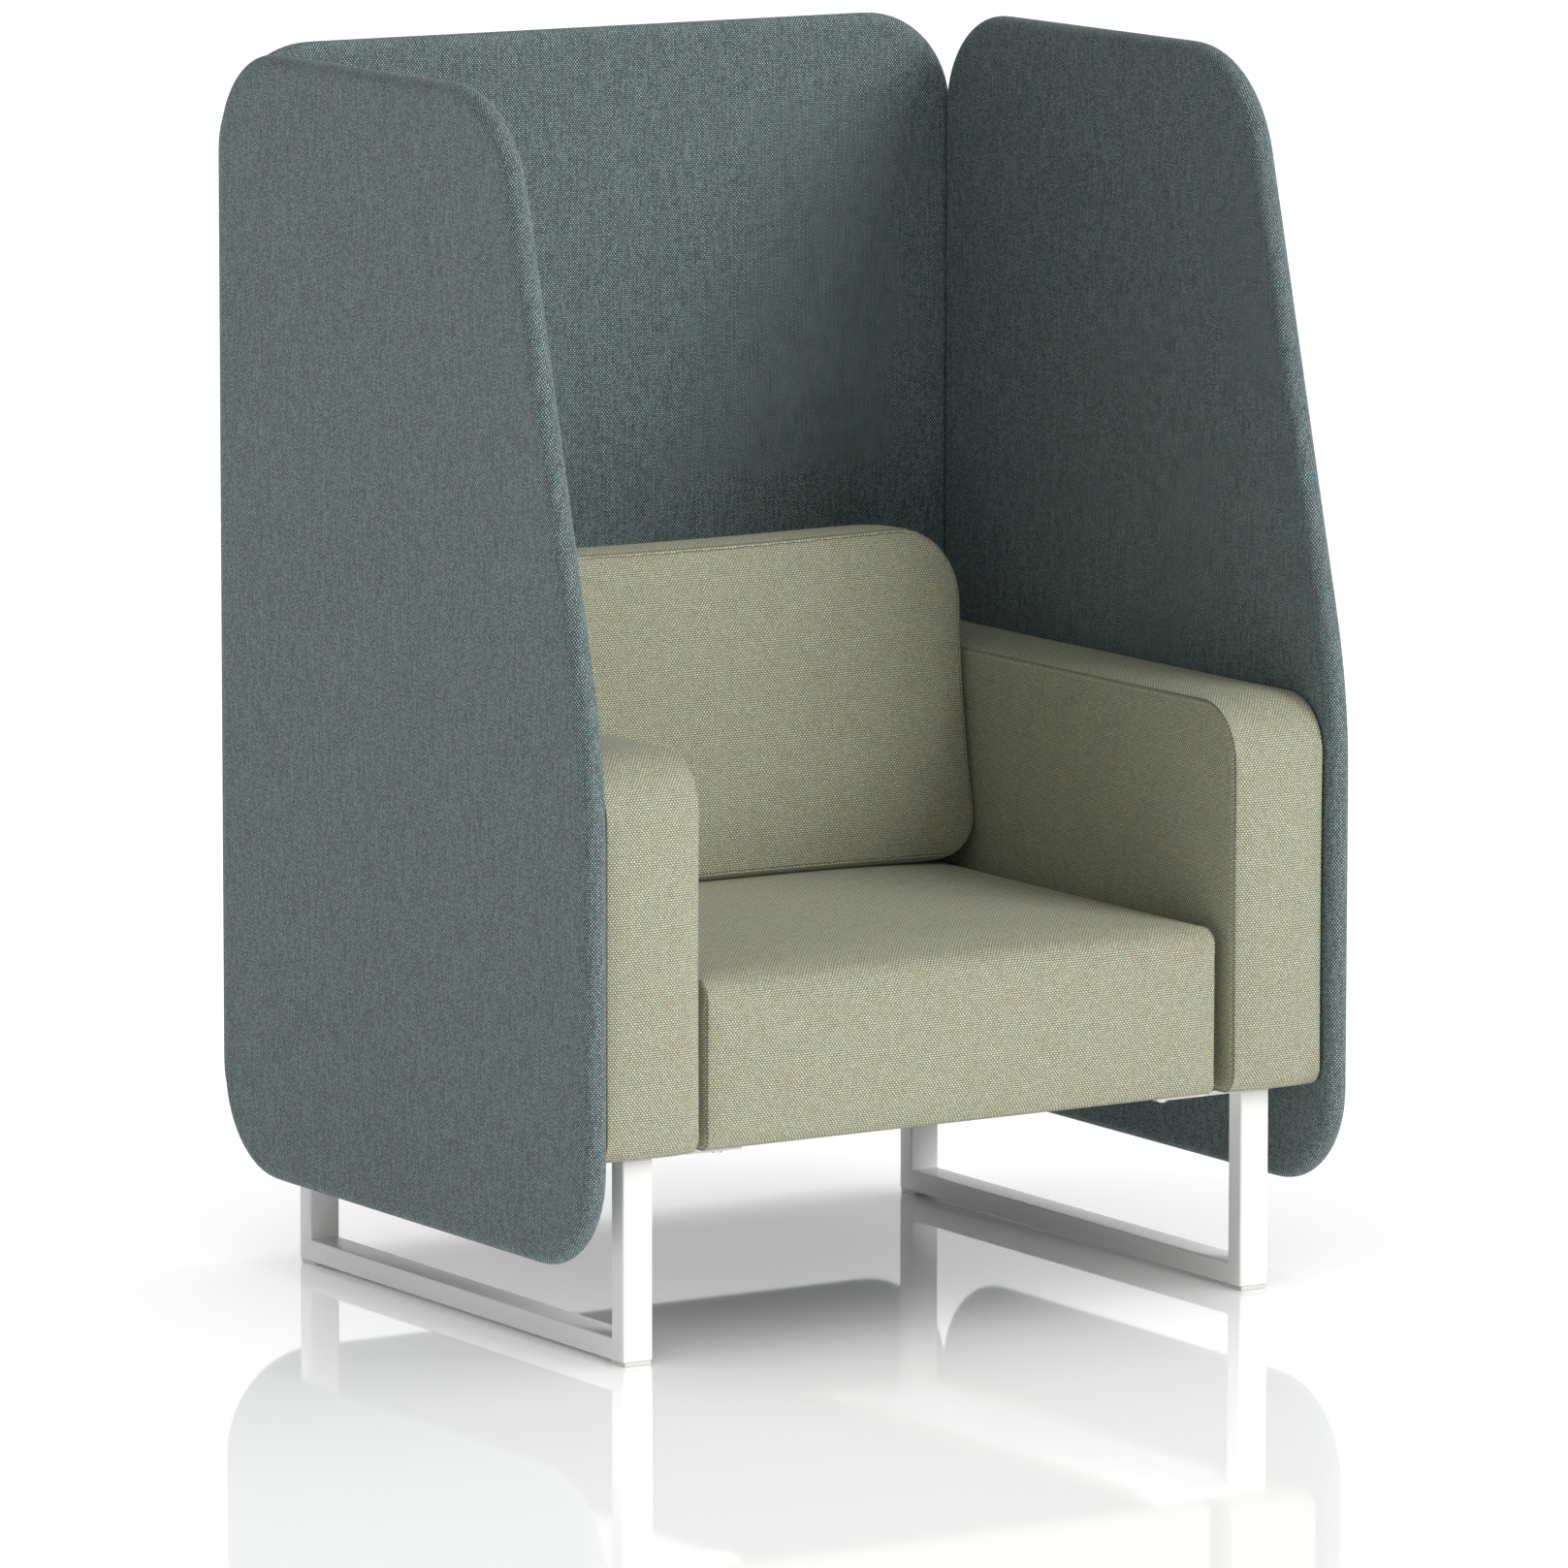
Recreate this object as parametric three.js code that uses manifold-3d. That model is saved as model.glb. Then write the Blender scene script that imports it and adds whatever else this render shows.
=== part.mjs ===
// Acoustic high back lounge chair: a sled base, a boxed seat, two arms, a leaning back cushion
// and three screens. Sizes are in millimetres. X runs to the right as seen from the front, Y runs
// to the back and Z runs up. The origin is on the floor under the middle of the whole chair.
import * as THREE from "three";
import { mergeVertices } from "three/addons/utils/BufferGeometryUtils.js";
import Module from "manifold-3d";

const wasm = await Module();
wasm.setup();

// Driving sizes of the seat, the arms and the back unit

const underside = 233;
const seatWidth = 670;
const seatDepth = 617;
const railHeight = 90;
const deckThickness = 12;
const foamThickness = 87.5;
const seatCrown = 15;
const armWidth = 121.5;
const armHeight = 440.5;
const backDepth = 157.9;
const backHeight = 537;

// Driving sizes of the screens, which reach past the arms

const screenThickness = 28;
const screenDrop = 121;
const screenRise = 712.5;
const screenSlant = 188;
const screenCorner = 115;
const screenFrontCorner = 149;
const screenBend = 700;
const screenStep = 12.5;

// How far each front stands back from the side screens' front edge

const armSetback = 14.5;
const seatSetback = 26;
const legSetback = 52.7;

// Fits

const seatSideGap = 14;
const sideGap = 2;
const screenGap = 1.5;
const touch = 0.3;
const boltClearance = 0.3;
const overrun = 5;
const weld = 1e-4;

// Widths and heights that follow from the driving sizes

const screenRound = screenThickness / 2;
const seatHalf = seatWidth / 2;
const armInner = seatHalf + seatSideGap;
const armOuter = armInner + armWidth;
const backHalf = armInner - sideGap;
const sideScreenMiddle = armOuter + screenGap + screenRound;
const backScreenHalf = sideScreenMiddle - screenStep + screenRound;
const seatRailTop = underside + railHeight;
const deckTop = seatRailTop + deckThickness;
const seatSeamHeight = deckTop + foamThickness;
const armTop = underside + armHeight;
const backTop = underside + backHeight;
const screenBottom = underside - screenDrop;
const screenTop = armTop + screenRise;

// The back screen's rounded ends lie diagonally against the side screens' rounded rear edges.
const screenReach = screenThickness + touch;
const screenNest = Math.sqrt(Math.max(screenReach ** 2 - screenStep ** 2, 0));

// Depths, from the side screens' front edge to the back screen's rear face

const armDepth = seatSetback - armSetback + seatDepth + sideGap + backDepth;
const backScreenSetback = armSetback + armDepth + screenGap + screenRound;
const sideScreenDepth = backScreenSetback - screenNest + screenRound;
const screenFront = -(backScreenSetback + screenRound) / 2;
const sideScreenRear = screenFront + sideScreenDepth;
const backScreenMiddle = screenFront + backScreenSetback;
const armFront = screenFront + armSetback;
const armRear = armFront + armDepth;
const seatFront = screenFront + seatSetback;
const seatRear = seatFront + seatDepth;
const backFront = seatRear + sideGap;

// Materials

function material(color, roughness, metalness) {
  return new THREE.MeshStandardMaterial({ color, roughness, metalness });
}

const screenFabric = material(0x5f7276, 0.95, 0);
const seatFabric = material(0xa9a88a, 0.95, 0);
const whiteSteel = material(0xf2f2f0, 0.35, 0);
const glidePlastic = material(0xdadad6, 0.5, 0);
const plywood = material(0xc9a777, 0.7, 0);
const softwood = material(0xd8bd8c, 0.75, 0);
const foamMaterial = material(0xe8e2c8, 1, 0);
const zincSteel = material(0x9a9c9e, 0.4, 0.9);
const dustCloth = material(0x2b2b2c, 0.95, 0);

// Solids: closed meshes that can be cut and joined

function solid(geometry) {
  const bare = geometry.clone();
  bare.deleteAttribute("normal");
  bare.deleteAttribute("uv");
  const merged = mergeVertices(bare, weld);
  return new wasm.Manifold(
    new wasm.Mesh({
      numProp: 3,
      vertProperties: merged.attributes.position.array,
      triVerts: new Uint32Array(merged.index.array),
    }),
  );
}

function geometryOf(made) {
  const mesh = made.getMesh();
  const count = mesh.vertProperties.length / mesh.numProp;
  const places = new Float32Array(count * 3);
  for (let i = 0; i < count; i++) {
    places.set(mesh.vertProperties.subarray(i * mesh.numProp, i * mesh.numProp + 3), i * 3);
  }
  const geometry = new THREE.BufferGeometry();
  geometry.setAttribute("position", new THREE.BufferAttribute(places, 3));
  geometry.setIndex(new THREE.BufferAttribute(mesh.triVerts, 1));
  geometry.computeVertexNormals();
  return geometry;
}

function cut(geometry, ...tools) {
  return geometryOf(tools.reduce((left, tool) => left.subtract(solid(tool)), solid(geometry)));
}

function join(geometry, ...others) {
  return geometryOf(others.reduce((all, other) => all.add(solid(other)), solid(geometry)));
}

function place(group, name, geometry, finish) {
  const mesh = new THREE.Mesh(geometry, finish);
  mesh.name = name;
  group.add(mesh);
}

// A box between two corners.
function block([x0, x1], [y0, y1], [z0, z1]) {
  const geometry = new THREE.BoxGeometry(x1 - x0, y1 - y0, z1 - z0);
  return geometry.translate((x0 + x1) / 2, (y0 + y1) / 2, (z0 + z1) / 2);
}

// Outlines: points [a, b] of a polygon whose corners are rounded, anticlockwise

const cornerSteps = 6;

function rounded(corners) {
  const points = [];
  corners.forEach(({ at, radius }, i) => {
    const here = new THREE.Vector2(...at);
    const before = new THREE.Vector2(...corners.at(i - 1).at).sub(here);
    const after = new THREE.Vector2(...corners[(i + 1) % corners.length].at).sub(here);
    const half = Math.acos(before.clone().normalize().dot(after.clone().normalize())) / 2;
    const reach = Math.min(before.length(), after.length()) / 2;
    const fillet = Math.min(radius, reach * Math.tan(half));
    if (fillet <= 0) {
      points.push([here.x, here.y]);
      return;
    }
    const middle = before.clone().normalize().add(after.clone().normalize()).normalize();
    const centre = here.clone().addScaledVector(middle, fillet / Math.sin(half));
    // The arc runs backwards round a corner that turns into the outline.
    const sweep = (Math.PI - 2 * half) * Math.sign(after.cross(before));
    const start = middle.clone().negate().angle() - sweep / 2;
    for (let step = 0; step <= cornerSteps; step++) {
      const turn = start + (sweep * step) / cornerSteps;
      points.push([centre.x + fillet * Math.cos(turn), centre.y + fillet * Math.sin(turn)]);
    }
  });
  return points;
}

function shapeOf(points) {
  return new THREE.Shape(points.map(([a, b]) => new THREE.Vector2(a, b)));
}

// A board or a tube: an outline in (y, z), running along X.
function boardAcross(points, [x0, x1]) {
  const geometry = new THREE.ExtrudeGeometry(shapeOf(points), {
    depth: x1 - x0,
    bevelEnabled: false,
  });
  const turn = new THREE.Matrix4().makeBasis(
    new THREE.Vector3(0, 1, 0),
    new THREE.Vector3(0, 0, 1),
    new THREE.Vector3(1, 0, 0),
  );
  return geometry.applyMatrix4(turn).translate(x0, 0, 0);
}

// The same for an outline in (x, z), running along Y.
function boardAlong(points, [y0, y1]) {
  const geometry = new THREE.ExtrudeGeometry(shapeOf(points), {
    depth: y1 - y0,
    bevelEnabled: false,
  });
  return geometry.rotateX(Math.PI / 2).translate(0, y1, 0);
}

// A closed skin over rings of points, each ring as long as the next, ended by a fan at each end.
function skinOver(rings) {
  const count = rings[0].length;
  const middleOf = (ring) =>
    ring.reduce((sum, point) => sum.add(point), new THREE.Vector3()).divideScalar(count);
  const points = [...rings.flat(), middleOf(rings[0]), middleOf(rings.at(-1))];
  const faces = [];
  for (let r = 0; r + 1 < rings.length; r++) {
    for (let i = 0; i < count; i++) {
      const a = r * count + i;
      const b = r * count + ((i + 1) % count);
      faces.push(a, b, a + count, b, b + count, a + count);
    }
  }
  const first = rings.length * count;
  const last = (rings.length - 1) * count;
  for (let i = 0; i < count; i++) {
    const next = (i + 1) % count;
    faces.push(first, next, i, first + 1, last + i, last + next);
  }
  // The sum over the faces is positive when they point outwards.
  const corner = new THREE.Vector3();
  let volume = 0;
  for (let i = 0; i < faces.length; i += 3) {
    corner.crossVectors(points[faces[i + 1]], points[faces[i + 2]]);
    volume += corner.dot(points[faces[i]]);
  }
  if (volume < 0) faces.reverse();
  const geometry = new THREE.BufferGeometry();
  const places = points.flatMap((point) => [point.x, point.y, point.z]);
  geometry.setAttribute("position", new THREE.Float32BufferAttribute(places, 3));
  geometry.setIndex(faces);
  geometry.computeVertexNormals();
  return geometry;
}

// Bolts: a hexagon head on a round shank, pointing up Z with the underside of the head at zero

const boltShank = 4;
const boltHead = 6.5;
const boltHeadHeight = 5;
const shankSides = 12;
const headSides = 6;

function bolt(length) {
  const head = new THREE.CylinderGeometry(boltHead, boltHead, boltHeadHeight, headSides);
  head.rotateX(Math.PI / 2).translate(0, 0, -boltHeadHeight / 2);
  const rooted = length + boltHeadHeight / 2;
  const shank = new THREE.CylinderGeometry(boltShank, boltShank, rooted, shankSides);
  shank.rotateX(Math.PI / 2).translate(0, 0, length - rooted / 2);
  return join(head, shank);
}

// The hole that a bolt passes: a rod along Z between two heights.
function boltHole([from, to]) {
  const radius = boltShank + boltClearance;
  const rod = new THREE.CylinderGeometry(radius, radius, to - from, shankSides);
  return rod.rotateX(Math.PI / 2).translate(0, 0, (from + to) / 2);
}

function alongX(geometry) {
  return geometry.rotateY(Math.PI / 2);
}

function alongY(geometry) {
  return geometry.rotateX(-Math.PI / 2);
}

// Sled base

const legSideSetback = 45.5;
const legRearSetback = 43.1;
const tubeWidth = 38;
const tubeThickness = 25;
const tubeWall = 2;
const glideHeight = 5;
const glideSideInset = 2;
const glideLength = 30;
const plateThickness = 5;
const plateReach = 76;
const plateWaistStep = 21;
const plateEnd = 45;
const plateCorner = 12;
const plateBoltInset = 20;
const waistBoltInset = 10;
const seatRearBoltInset = 50;
const armBoltInset = 45;
const boltPenetration = 16;

const legOuter = armOuter - legSideSetback;
const legInner = legOuter - tubeWidth;
const legFront = screenFront + legSetback;
const legRear = armRear - legRearSetback;
const plateInner = armInner - plateReach;
const plateWaist = plateInner + plateWaistStep;
const postTop = underside - plateThickness;
const armMiddle = armInner + armWidth / 2;

// Where each bolt passes the plate, and what it holds there, as [x, y].
const plateBolts = {
  seat_front: [plateInner + plateBoltInset, legFront + plateBoltInset],
  seat_rear: [plateWaist + waistBoltInset, seatRear - seatRearBoltInset],
  back: [plateInner + plateBoltInset, legRear - plateBoltInset],
  arm_front: [armMiddle, legFront + tubeThickness + armBoltInset],
  arm_rear: [armMiddle, legRear - tubeThickness - armBoltInset],
};

// A mitred stretch of tube: its outline in (y, z) runs along X and its bore follows the outline.
function mitredTube(outer, bore) {
  const tube = boardAcross(outer, [legInner, legOuter]);
  return cut(tube, boardAcross(bore, [legInner + tubeWall, legOuter - tubeWall]));
}

// The floor rail meets the two posts on mitres at the bottom corners.
function floorRail() {
  const high = glideHeight + tubeThickness;
  const outer = [
    [legFront, glideHeight],
    [legRear, glideHeight],
    [legRear - tubeThickness, high],
    [legFront + tubeThickness, high],
  ];
  const bore = [
    [legFront - overrun, glideHeight + tubeWall],
    [legRear + overrun, glideHeight + tubeWall],
    [legRear + overrun, high - tubeWall],
    [legFront - overrun, high - tubeWall],
  ];
  return mitredTube(outer, bore);
}

// A post from its outer face inwards, with a mitre at its foot.
function post(outside, inward) {
  const inside = outside + inward * tubeThickness;
  const outer = [
    [outside, glideHeight],
    [inside, glideHeight + tubeThickness],
    [inside, postTop],
    [outside, postTop],
  ];
  const near = outside + inward * tubeWall;
  const far = inside - inward * tubeWall;
  const bore = [
    [near, glideHeight - overrun],
    [far, glideHeight - overrun],
    [far, postTop + overrun],
    [near, postTop + overrun],
  ];
  if (inward < 0) {
    outer.reverse();
    bore.reverse();
  }
  return mitredTube(outer, bore);
}

function glide(start) {
  const width = [legInner + glideSideInset, legOuter - glideSideInset];
  return block(width, [start, start + glideLength], [0, glideHeight]);
}

// The plate is wide at its two ends, where the bolts are, and narrow between them.
function mountingPlate() {
  const corners = [
    { at: [plateInner, legFront], radius: 0 },
    { at: [legOuter, legFront], radius: 0 },
    { at: [legOuter, legRear], radius: 0 },
    { at: [plateInner, legRear], radius: 0 },
    { at: [plateInner, legRear - plateEnd], radius: plateCorner },
    { at: [plateWaist, legRear - plateEnd - plateCorner], radius: plateCorner },
    { at: [plateWaist, legFront + plateEnd + plateCorner], radius: plateCorner },
    { at: [plateInner, legFront + plateEnd], radius: plateCorner },
  ];
  const plate = new THREE.ExtrudeGeometry(shapeOf(rounded(corners)), {
    depth: plateThickness,
    bevelEnabled: false,
  }).translate(0, 0, postTop);
  return cut(plate, ...plateHoles([postTop - overrun, underside + overrun], 1));
}

function plateHoles(span, mirror) {
  return Object.values(plateBolts).map(([x, y]) => boltHole(span).translate(mirror * x, y, 0));
}

// The holes in the timber over the right plate and over both plates.
const timberSpan = [underside - overrun, underside + boltPenetration + touch];
const rightHoles = () => plateHoles(timberSpan, 1);
const bothHoles = () => [...rightHoles(), ...plateHoles(timberSpan, -1)];

function addLegLoop(side, group) {
  place(group, side + "_floor_rail", floorRail(), whiteSteel);
  place(group, side + "_front_post", post(legFront, 1), whiteSteel);
  place(group, side + "_rear_post", post(legRear, -1), whiteSteel);
  place(group, side + "_mounting_plate", mountingPlate(), whiteSteel);
  place(group, side + "_front_glide", glide(legFront), glidePlastic);
  place(group, side + "_rear_glide", glide(legRear - glideLength), glidePlastic);
  for (const [where, [x, y]] of Object.entries(plateBolts)) {
    const made = bolt(plateThickness + boltPenetration).translate(x, y, postTop);
    place(group, side + "_plate_bolt_" + where, made, zincSteel);
  }
}

// Seat: a timber ring and deck under a foam block, all inside the sewn cover

const seatSkin = 6;
const seatEdge = 12;
const seatBottomEdge = 14;
const seatCorner = 8;
const seatFrontSwell = 8;
const railThickness = 60;
const dustThickness = 1;
const dustMargin = 3;

// A rectangle with rounded corners whose sides carry points enough to bend.
const sideSteps = 4;

function softRectangle([x0, x1], [y0, y1], radius) {
  const corners = [
    { at: [x0, y0], radius },
    { at: [x1, y0], radius },
    { at: [x1, y1], radius },
    { at: [x0, y1], radius },
  ];
  const ring = rounded(corners);
  const points = [];
  ring.forEach((here, i) => {
    points.push(here);
    if (i % (cornerSteps + 1) !== cornerSteps) return;
    const next = ring[(i + 1) % ring.length];
    for (let step = 1; step < sideSteps; step++) {
      const share = step / sideSteps;
      points.push(here.map((value, axis) => value + (next[axis] - value) * share));
    }
  });
  return points;
}

const topShares = [0.03, 0.08, 0.16, 0.3, 0.5, 0.75];
const crownSharpness = 3.5;
const edgeShares = [0, 0.5, 1];
const seatSideShares = [0.35, 0.7];

// The seat's crowned form, drawn in by a skin, from a floor height up.
function seatForm(skin, floor, roundedBelow) {
  const half = seatHalf - skin;
  const rear = seatRear - skin;
  const seam = seatSeamHeight - skin;
  const radius = Math.max(seatCorner - skin, touch);
  const edge = Math.max(seatEdge - skin, touch);
  const ringAt = (inset, z) => {
    const rise = THREE.MathUtils.clamp((z - underside) / (seatSeamHeight - underside), 0, 1);
    const swell = seatFrontSwell * Math.sin(Math.PI * rise);
    const front = seatFront + skin - swell + inset;
    const fillet = Math.max(radius - inset, touch);
    const outline = softRectangle([-half + inset, half - inset], [front, rear - inset], fillet);
    return outline.map(([x, y]) => new THREE.Vector3(x, y, z));
  };
  const rings = [];
  if (roundedBelow) {
    for (const share of edgeShares) {
      const turn = (share * Math.PI) / 2;
      const inset = seatBottomEdge * (1 - Math.sin(turn));
      rings.push(ringAt(inset, floor + seatBottomEdge * (1 - Math.cos(turn))));
    }
  } else {
    rings.push(ringAt(0, floor));
  }
  const start = rings.at(-1)[0].z;
  const sideTop = seam - edge;
  for (const share of seatSideShares) rings.push(ringAt(0, start + (sideTop - start) * share));
  for (const share of edgeShares) {
    const turn = (share * Math.PI) / 2;
    rings.push(ringAt(edge * (1 - Math.cos(turn)), sideTop + edge * Math.sin(turn)));
  }
  const seamRing = rings.at(-1);
  const middle = new THREE.Vector3(0, (seatFront + seatRear) / 2, 0);
  for (const share of topShares) {
    const rise = seatCrown * (1 - (1 - share) ** crownSharpness);
    rings.push(
      seamRing.map((point) => {
        const moved = point.clone().lerp(middle, share);
        moved.z = seam + rise;
        return moved;
      }),
    );
  }
  return skinOver(rings);
}

const seatInside = seatSkin + touch;

function addSeat(group) {
  const baseInset = seatBottomEdge + seatSkin;
  const [wide, front, rear] = [seatHalf - baseInset, seatFront + baseInset, seatRear - baseInset];
  const base = block([-wide, wide], [front, rear], [underside - overrun, deckTop]);
  const hollow = seatForm(seatSkin, deckTop - touch, false);
  place(group, "seat_cover", cut(seatForm(0, underside, true), hollow, base), seatFabric);
  place(group, "seat_foam", seatForm(seatInside, deckTop, false), foamMaterial);
  const [left, right] = [-wide + touch, wide - touch];
  const [near, far] = [front + touch, rear - touch];
  place(group, "seat_deck_board", block([left, right], [near, far], [seatRailTop, deckTop]), plywood);
  const rails = {
    front: [[left, right], [near, near + railThickness]],
    rear: [[left, right], [far - railThickness, far]],
    left: [[left, left + railThickness], [near + railThickness, far - railThickness]],
    right: [[right - railThickness, right], [near + railThickness, far - railThickness]],
  };
  for (const [where, [across, along]] of Object.entries(rails)) {
    const rail = cut(block(across, along, [underside, seatRailTop]), ...bothHoles());
    place(group, "seat_" + where + "_rail", rail, softwood);
  }
  const dustHalf = plateInner - dustMargin;
  const dustSpan = [near, armRear - baseInset];
  const dust = block([-dustHalf, dustHalf], dustSpan, [underside - dustThickness, underside]);
  place(group, "seat_dust_cover", dust, dustCloth);
}

// Arms: two boards with rails between them inside the padded cover

const armSideSkin = 6;
const armTopSkin = 18;
const armCorner = 64;
const armBottomCorner = 22;
const armEdge = 6;
const armCrown = 3;
const armBoard = 15;
const armRailHeight = 40;
const armSteps = 8;

// The arm's side outline in (y, z), drawn in by a skin at the front, top and rear.
function armOutline(skin, rearSkin, floor) {
  return rounded([
    { at: [armFront + skin, floor], radius: Math.max(armBottomCorner - skin, 0) },
    { at: [armRear - rearSkin, floor], radius: 0 },
    { at: [armRear - rearSkin, armTop - skin], radius: Math.max(armEdge - rearSkin, 0) },
    { at: [armFront + skin, armTop - skin], radius: Math.max(armCorner - skin, 0) },
  ]);
}

// The cover's outside: flat sides with a rounded edge, and a crown across the front and top.
function armForm() {
  const edge = [];
  for (const share of edgeShares) {
    const turn = (share * Math.PI) / 2;
    edge.push([armEdge * (1 - Math.cos(turn)), armEdge * (1 - Math.sin(turn))]);
  }
  const stations = edge.map(([inwards, inset]) => [armInner + inwards, inset]);
  for (let step = 1; step < armSteps; step++) {
    const share = step / armSteps;
    const x = armInner + armEdge + (armWidth - 2 * armEdge) * share;
    stations.push([x, -armCrown * 4 * share * (1 - share)]);
  }
  stations.push(...edge.map(([inwards, inset]) => [armOuter - inwards, inset]).reverse());
  const rings = stations.map(([x, inset]) =>
    armOutline(inset, 0, underside).map(([y, z]) => new THREE.Vector3(x, y, z)),
  );
  return skinOver(rings);
}

const armBoardOutline = () => armOutline(armTopSkin + touch, armSideSkin + touch, underside);
const armPocket = () => armOutline(armTopSkin, armSideSkin, underside - overrun);
const armBoardInner = armInner + armSideSkin + touch;
const armBoardOuter = armOuter - armSideSkin - touch;

// Where the side screen is bolted to the arm, in (y, z) as shares of the arm's length and height.
const screenBoltShares = [
  [0.2, 0.5],
  [0.8, 0.5],
];
const screenBoltPlaces = screenBoltShares.map(([along, up]) => [
  armFront + (armRear - armFront) * along,
  underside + (armTop - underside) * up,
]);

const sideBoltStart = armBoardOuter - armBoard;
const coreThickness = 12;
const sideBoltEnd = sideScreenMiddle + coreThickness / 2 - touch;

function sideScreenHoles() {
  const span = [sideBoltStart - overrun, sideBoltEnd + touch];
  return screenBoltPlaces.map(([y, z]) => alongX(boltHole(span)).translate(0, y, z));
}

function addArm(side, group) {
  const pocket = boardAcross(armPocket(), [armInner + armSideSkin, armOuter - armSideSkin]);
  place(group, side + "_arm_cover", cut(armForm(), pocket, ...sideScreenHoles()), seatFabric);
  const inner = boardAcross(armBoardOutline(), [armBoardInner, armBoardInner + armBoard]);
  place(group, side + "_arm_inner_board", inner, plywood);
  const outer = boardAcross(armBoardOutline(), [armBoardOuter - armBoard, armBoardOuter]);
  place(group, side + "_arm_outer_board", cut(outer, ...sideScreenHoles()), plywood);
  const across = [armBoardInner + armBoard, armBoardOuter - armBoard];
  const front = armFront + armTopSkin + touch + armCorner;
  const along = [front, armRear - armSideSkin - touch];
  const base = block(across, along, [underside, underside + armRailHeight]);
  place(group, side + "_arm_base_rail", cut(base, ...rightHoles()), softwood);
  const railTop = armTop - armTopSkin - touch;
  const topRail = block(across, along, [railTop - armRailHeight, railTop]);
  place(group, side + "_arm_top_rail", topRail, softwood);
  screenBoltPlaces.forEach(([y, z], i) => {
    const made = alongX(bolt(sideBoltEnd - sideBoltStart)).translate(sideBoltStart, y, z);
    place(group, side + "_screen_bolt_" + (i + 1), made, zincSteel);
  });
}

// Screens: a plywood core in a padded cover with a full round edge

const padSteps = 8;
const corePad = 8;
const slotShare = 0.6;
const slotHeights = [screenBottom - overrun, screenBottom + corePad + touch];

function sideScreenOutline(inset) {
  const front = screenFront + inset;
  const rear = sideScreenRear - inset;
  const [low, high] = [screenBottom + inset, screenTop - inset];
  const lean = Math.atan2(screenSlant, screenRise);
  // The slanted edge moves in square to itself, which shifts its ends along the front and the top.
  const bendHeight = armTop - inset * Math.tan(lean / 2);
  const topFront = screenFront + screenSlant + (inset * (1 + Math.sin(lean))) / Math.cos(lean);
  return rounded([
    { at: [front, low], radius: screenCorner - inset },
    { at: [rear, low], radius: screenCorner - inset },
    { at: [rear, high], radius: screenCorner - inset },
    { at: [topFront, high], radius: screenFrontCorner - inset },
    { at: [front, bendHeight], radius: screenBend },
  ]);
}

function backScreenOutline(inset) {
  const half = backScreenHalf - inset;
  const [low, high] = [screenBottom + inset, screenTop - inset];
  const radius = screenCorner - inset;
  return rounded([
    { at: [-half, low], radius },
    { at: [half, low], radius },
    { at: [half, high], radius },
    { at: [-half, high], radius },
  ]);
}

// Rings of the padded cover from one face round the edge to the other.
function padRings(outline, toPoint) {
  const rings = [];
  for (let step = 0; step <= padSteps; step++) {
    const turn = -Math.PI / 2 + (Math.PI * step) / padSteps;
    const inset = screenRound * (1 - Math.cos(turn));
    rings.push(outline(inset).map(([a, b]) => toPoint(a, b, screenRound * Math.sin(turn))));
  }
  return rings;
}

function addSideScreen(side, group) {
  const toPoint = (y, z, off) => new THREE.Vector3(sideScreenMiddle + off, y, z);
  const pad = skinOver(padRings(sideScreenOutline, toPoint));
  const half = coreThickness / 2;
  const pocketSpan = [sideScreenMiddle - half - touch, sideScreenMiddle + half + touch];
  const pocket = boardAcross(sideScreenOutline(corePad - touch), pocketSpan);
  const middle = (screenFront + sideScreenRear) / 2;
  const reach = (sideScreenDepth / 2 - screenCorner) * slotShare;
  const slot = block(pocketSpan, [middle - reach, middle + reach], slotHeights);
  const holes = sideScreenHoles();
  place(group, side + "_screen_cover", cut(pad, pocket, slot, ...holes), screenFabric);
  const coreSpan = [sideScreenMiddle - half, sideScreenMiddle + half];
  const core = boardAcross(sideScreenOutline(corePad), coreSpan);
  place(group, side + "_screen_core", cut(core, ...holes), plywood);
}

// Back unit between the arms, behind the cushion

const backSkin = 8;
const backEdge = 12;
const backBoard = 18;
const leanBoard = 12;
const backRailHeight = 60;
const leanDegrees = 7.3;
const cushionLean = THREE.MathUtils.degToRad(leanDegrees);

// Where the back unit's front face is at a height above the seat.
const leanAt = (z) => backFront + (z - seatSeamHeight) * Math.tan(cushionLean);

function backOutline(skin, floor) {
  return rounded([
    { at: [backFront + skin, floor], radius: 0 },
    { at: [armRear - skin, floor], radius: 0 },
    { at: [armRear - skin, backTop - skin], radius: Math.max(backEdge - skin, 0) },
    { at: [leanAt(backTop - skin) + skin, backTop - skin], radius: Math.max(backEdge - skin, 0) },
    { at: [backFront + skin, seatSeamHeight], radius: 0 },
  ]);
}

// Where the back screen is bolted on, in (x, z) as shares of the back unit's half width and height.
const backBoltShares = [
  [-0.6, 0.6],
  [0.6, 0.6],
];
const backBoltPlaces = backBoltShares.map(([across, up]) => [
  backHalf * across,
  underside + (backTop - underside) * up,
]);
const backBoardRear = armRear - backSkin - touch;
const backBoltStart = backBoardRear - backBoard;
const backBoltEnd = backScreenMiddle + coreThickness / 2 - touch;

function backScreenHoles() {
  const span = [backBoltStart - overrun, backBoltEnd + touch];
  return backBoltPlaces.map(([x, z]) => alongY(boltHole(span)).translate(x, 0, z));
}

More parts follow.
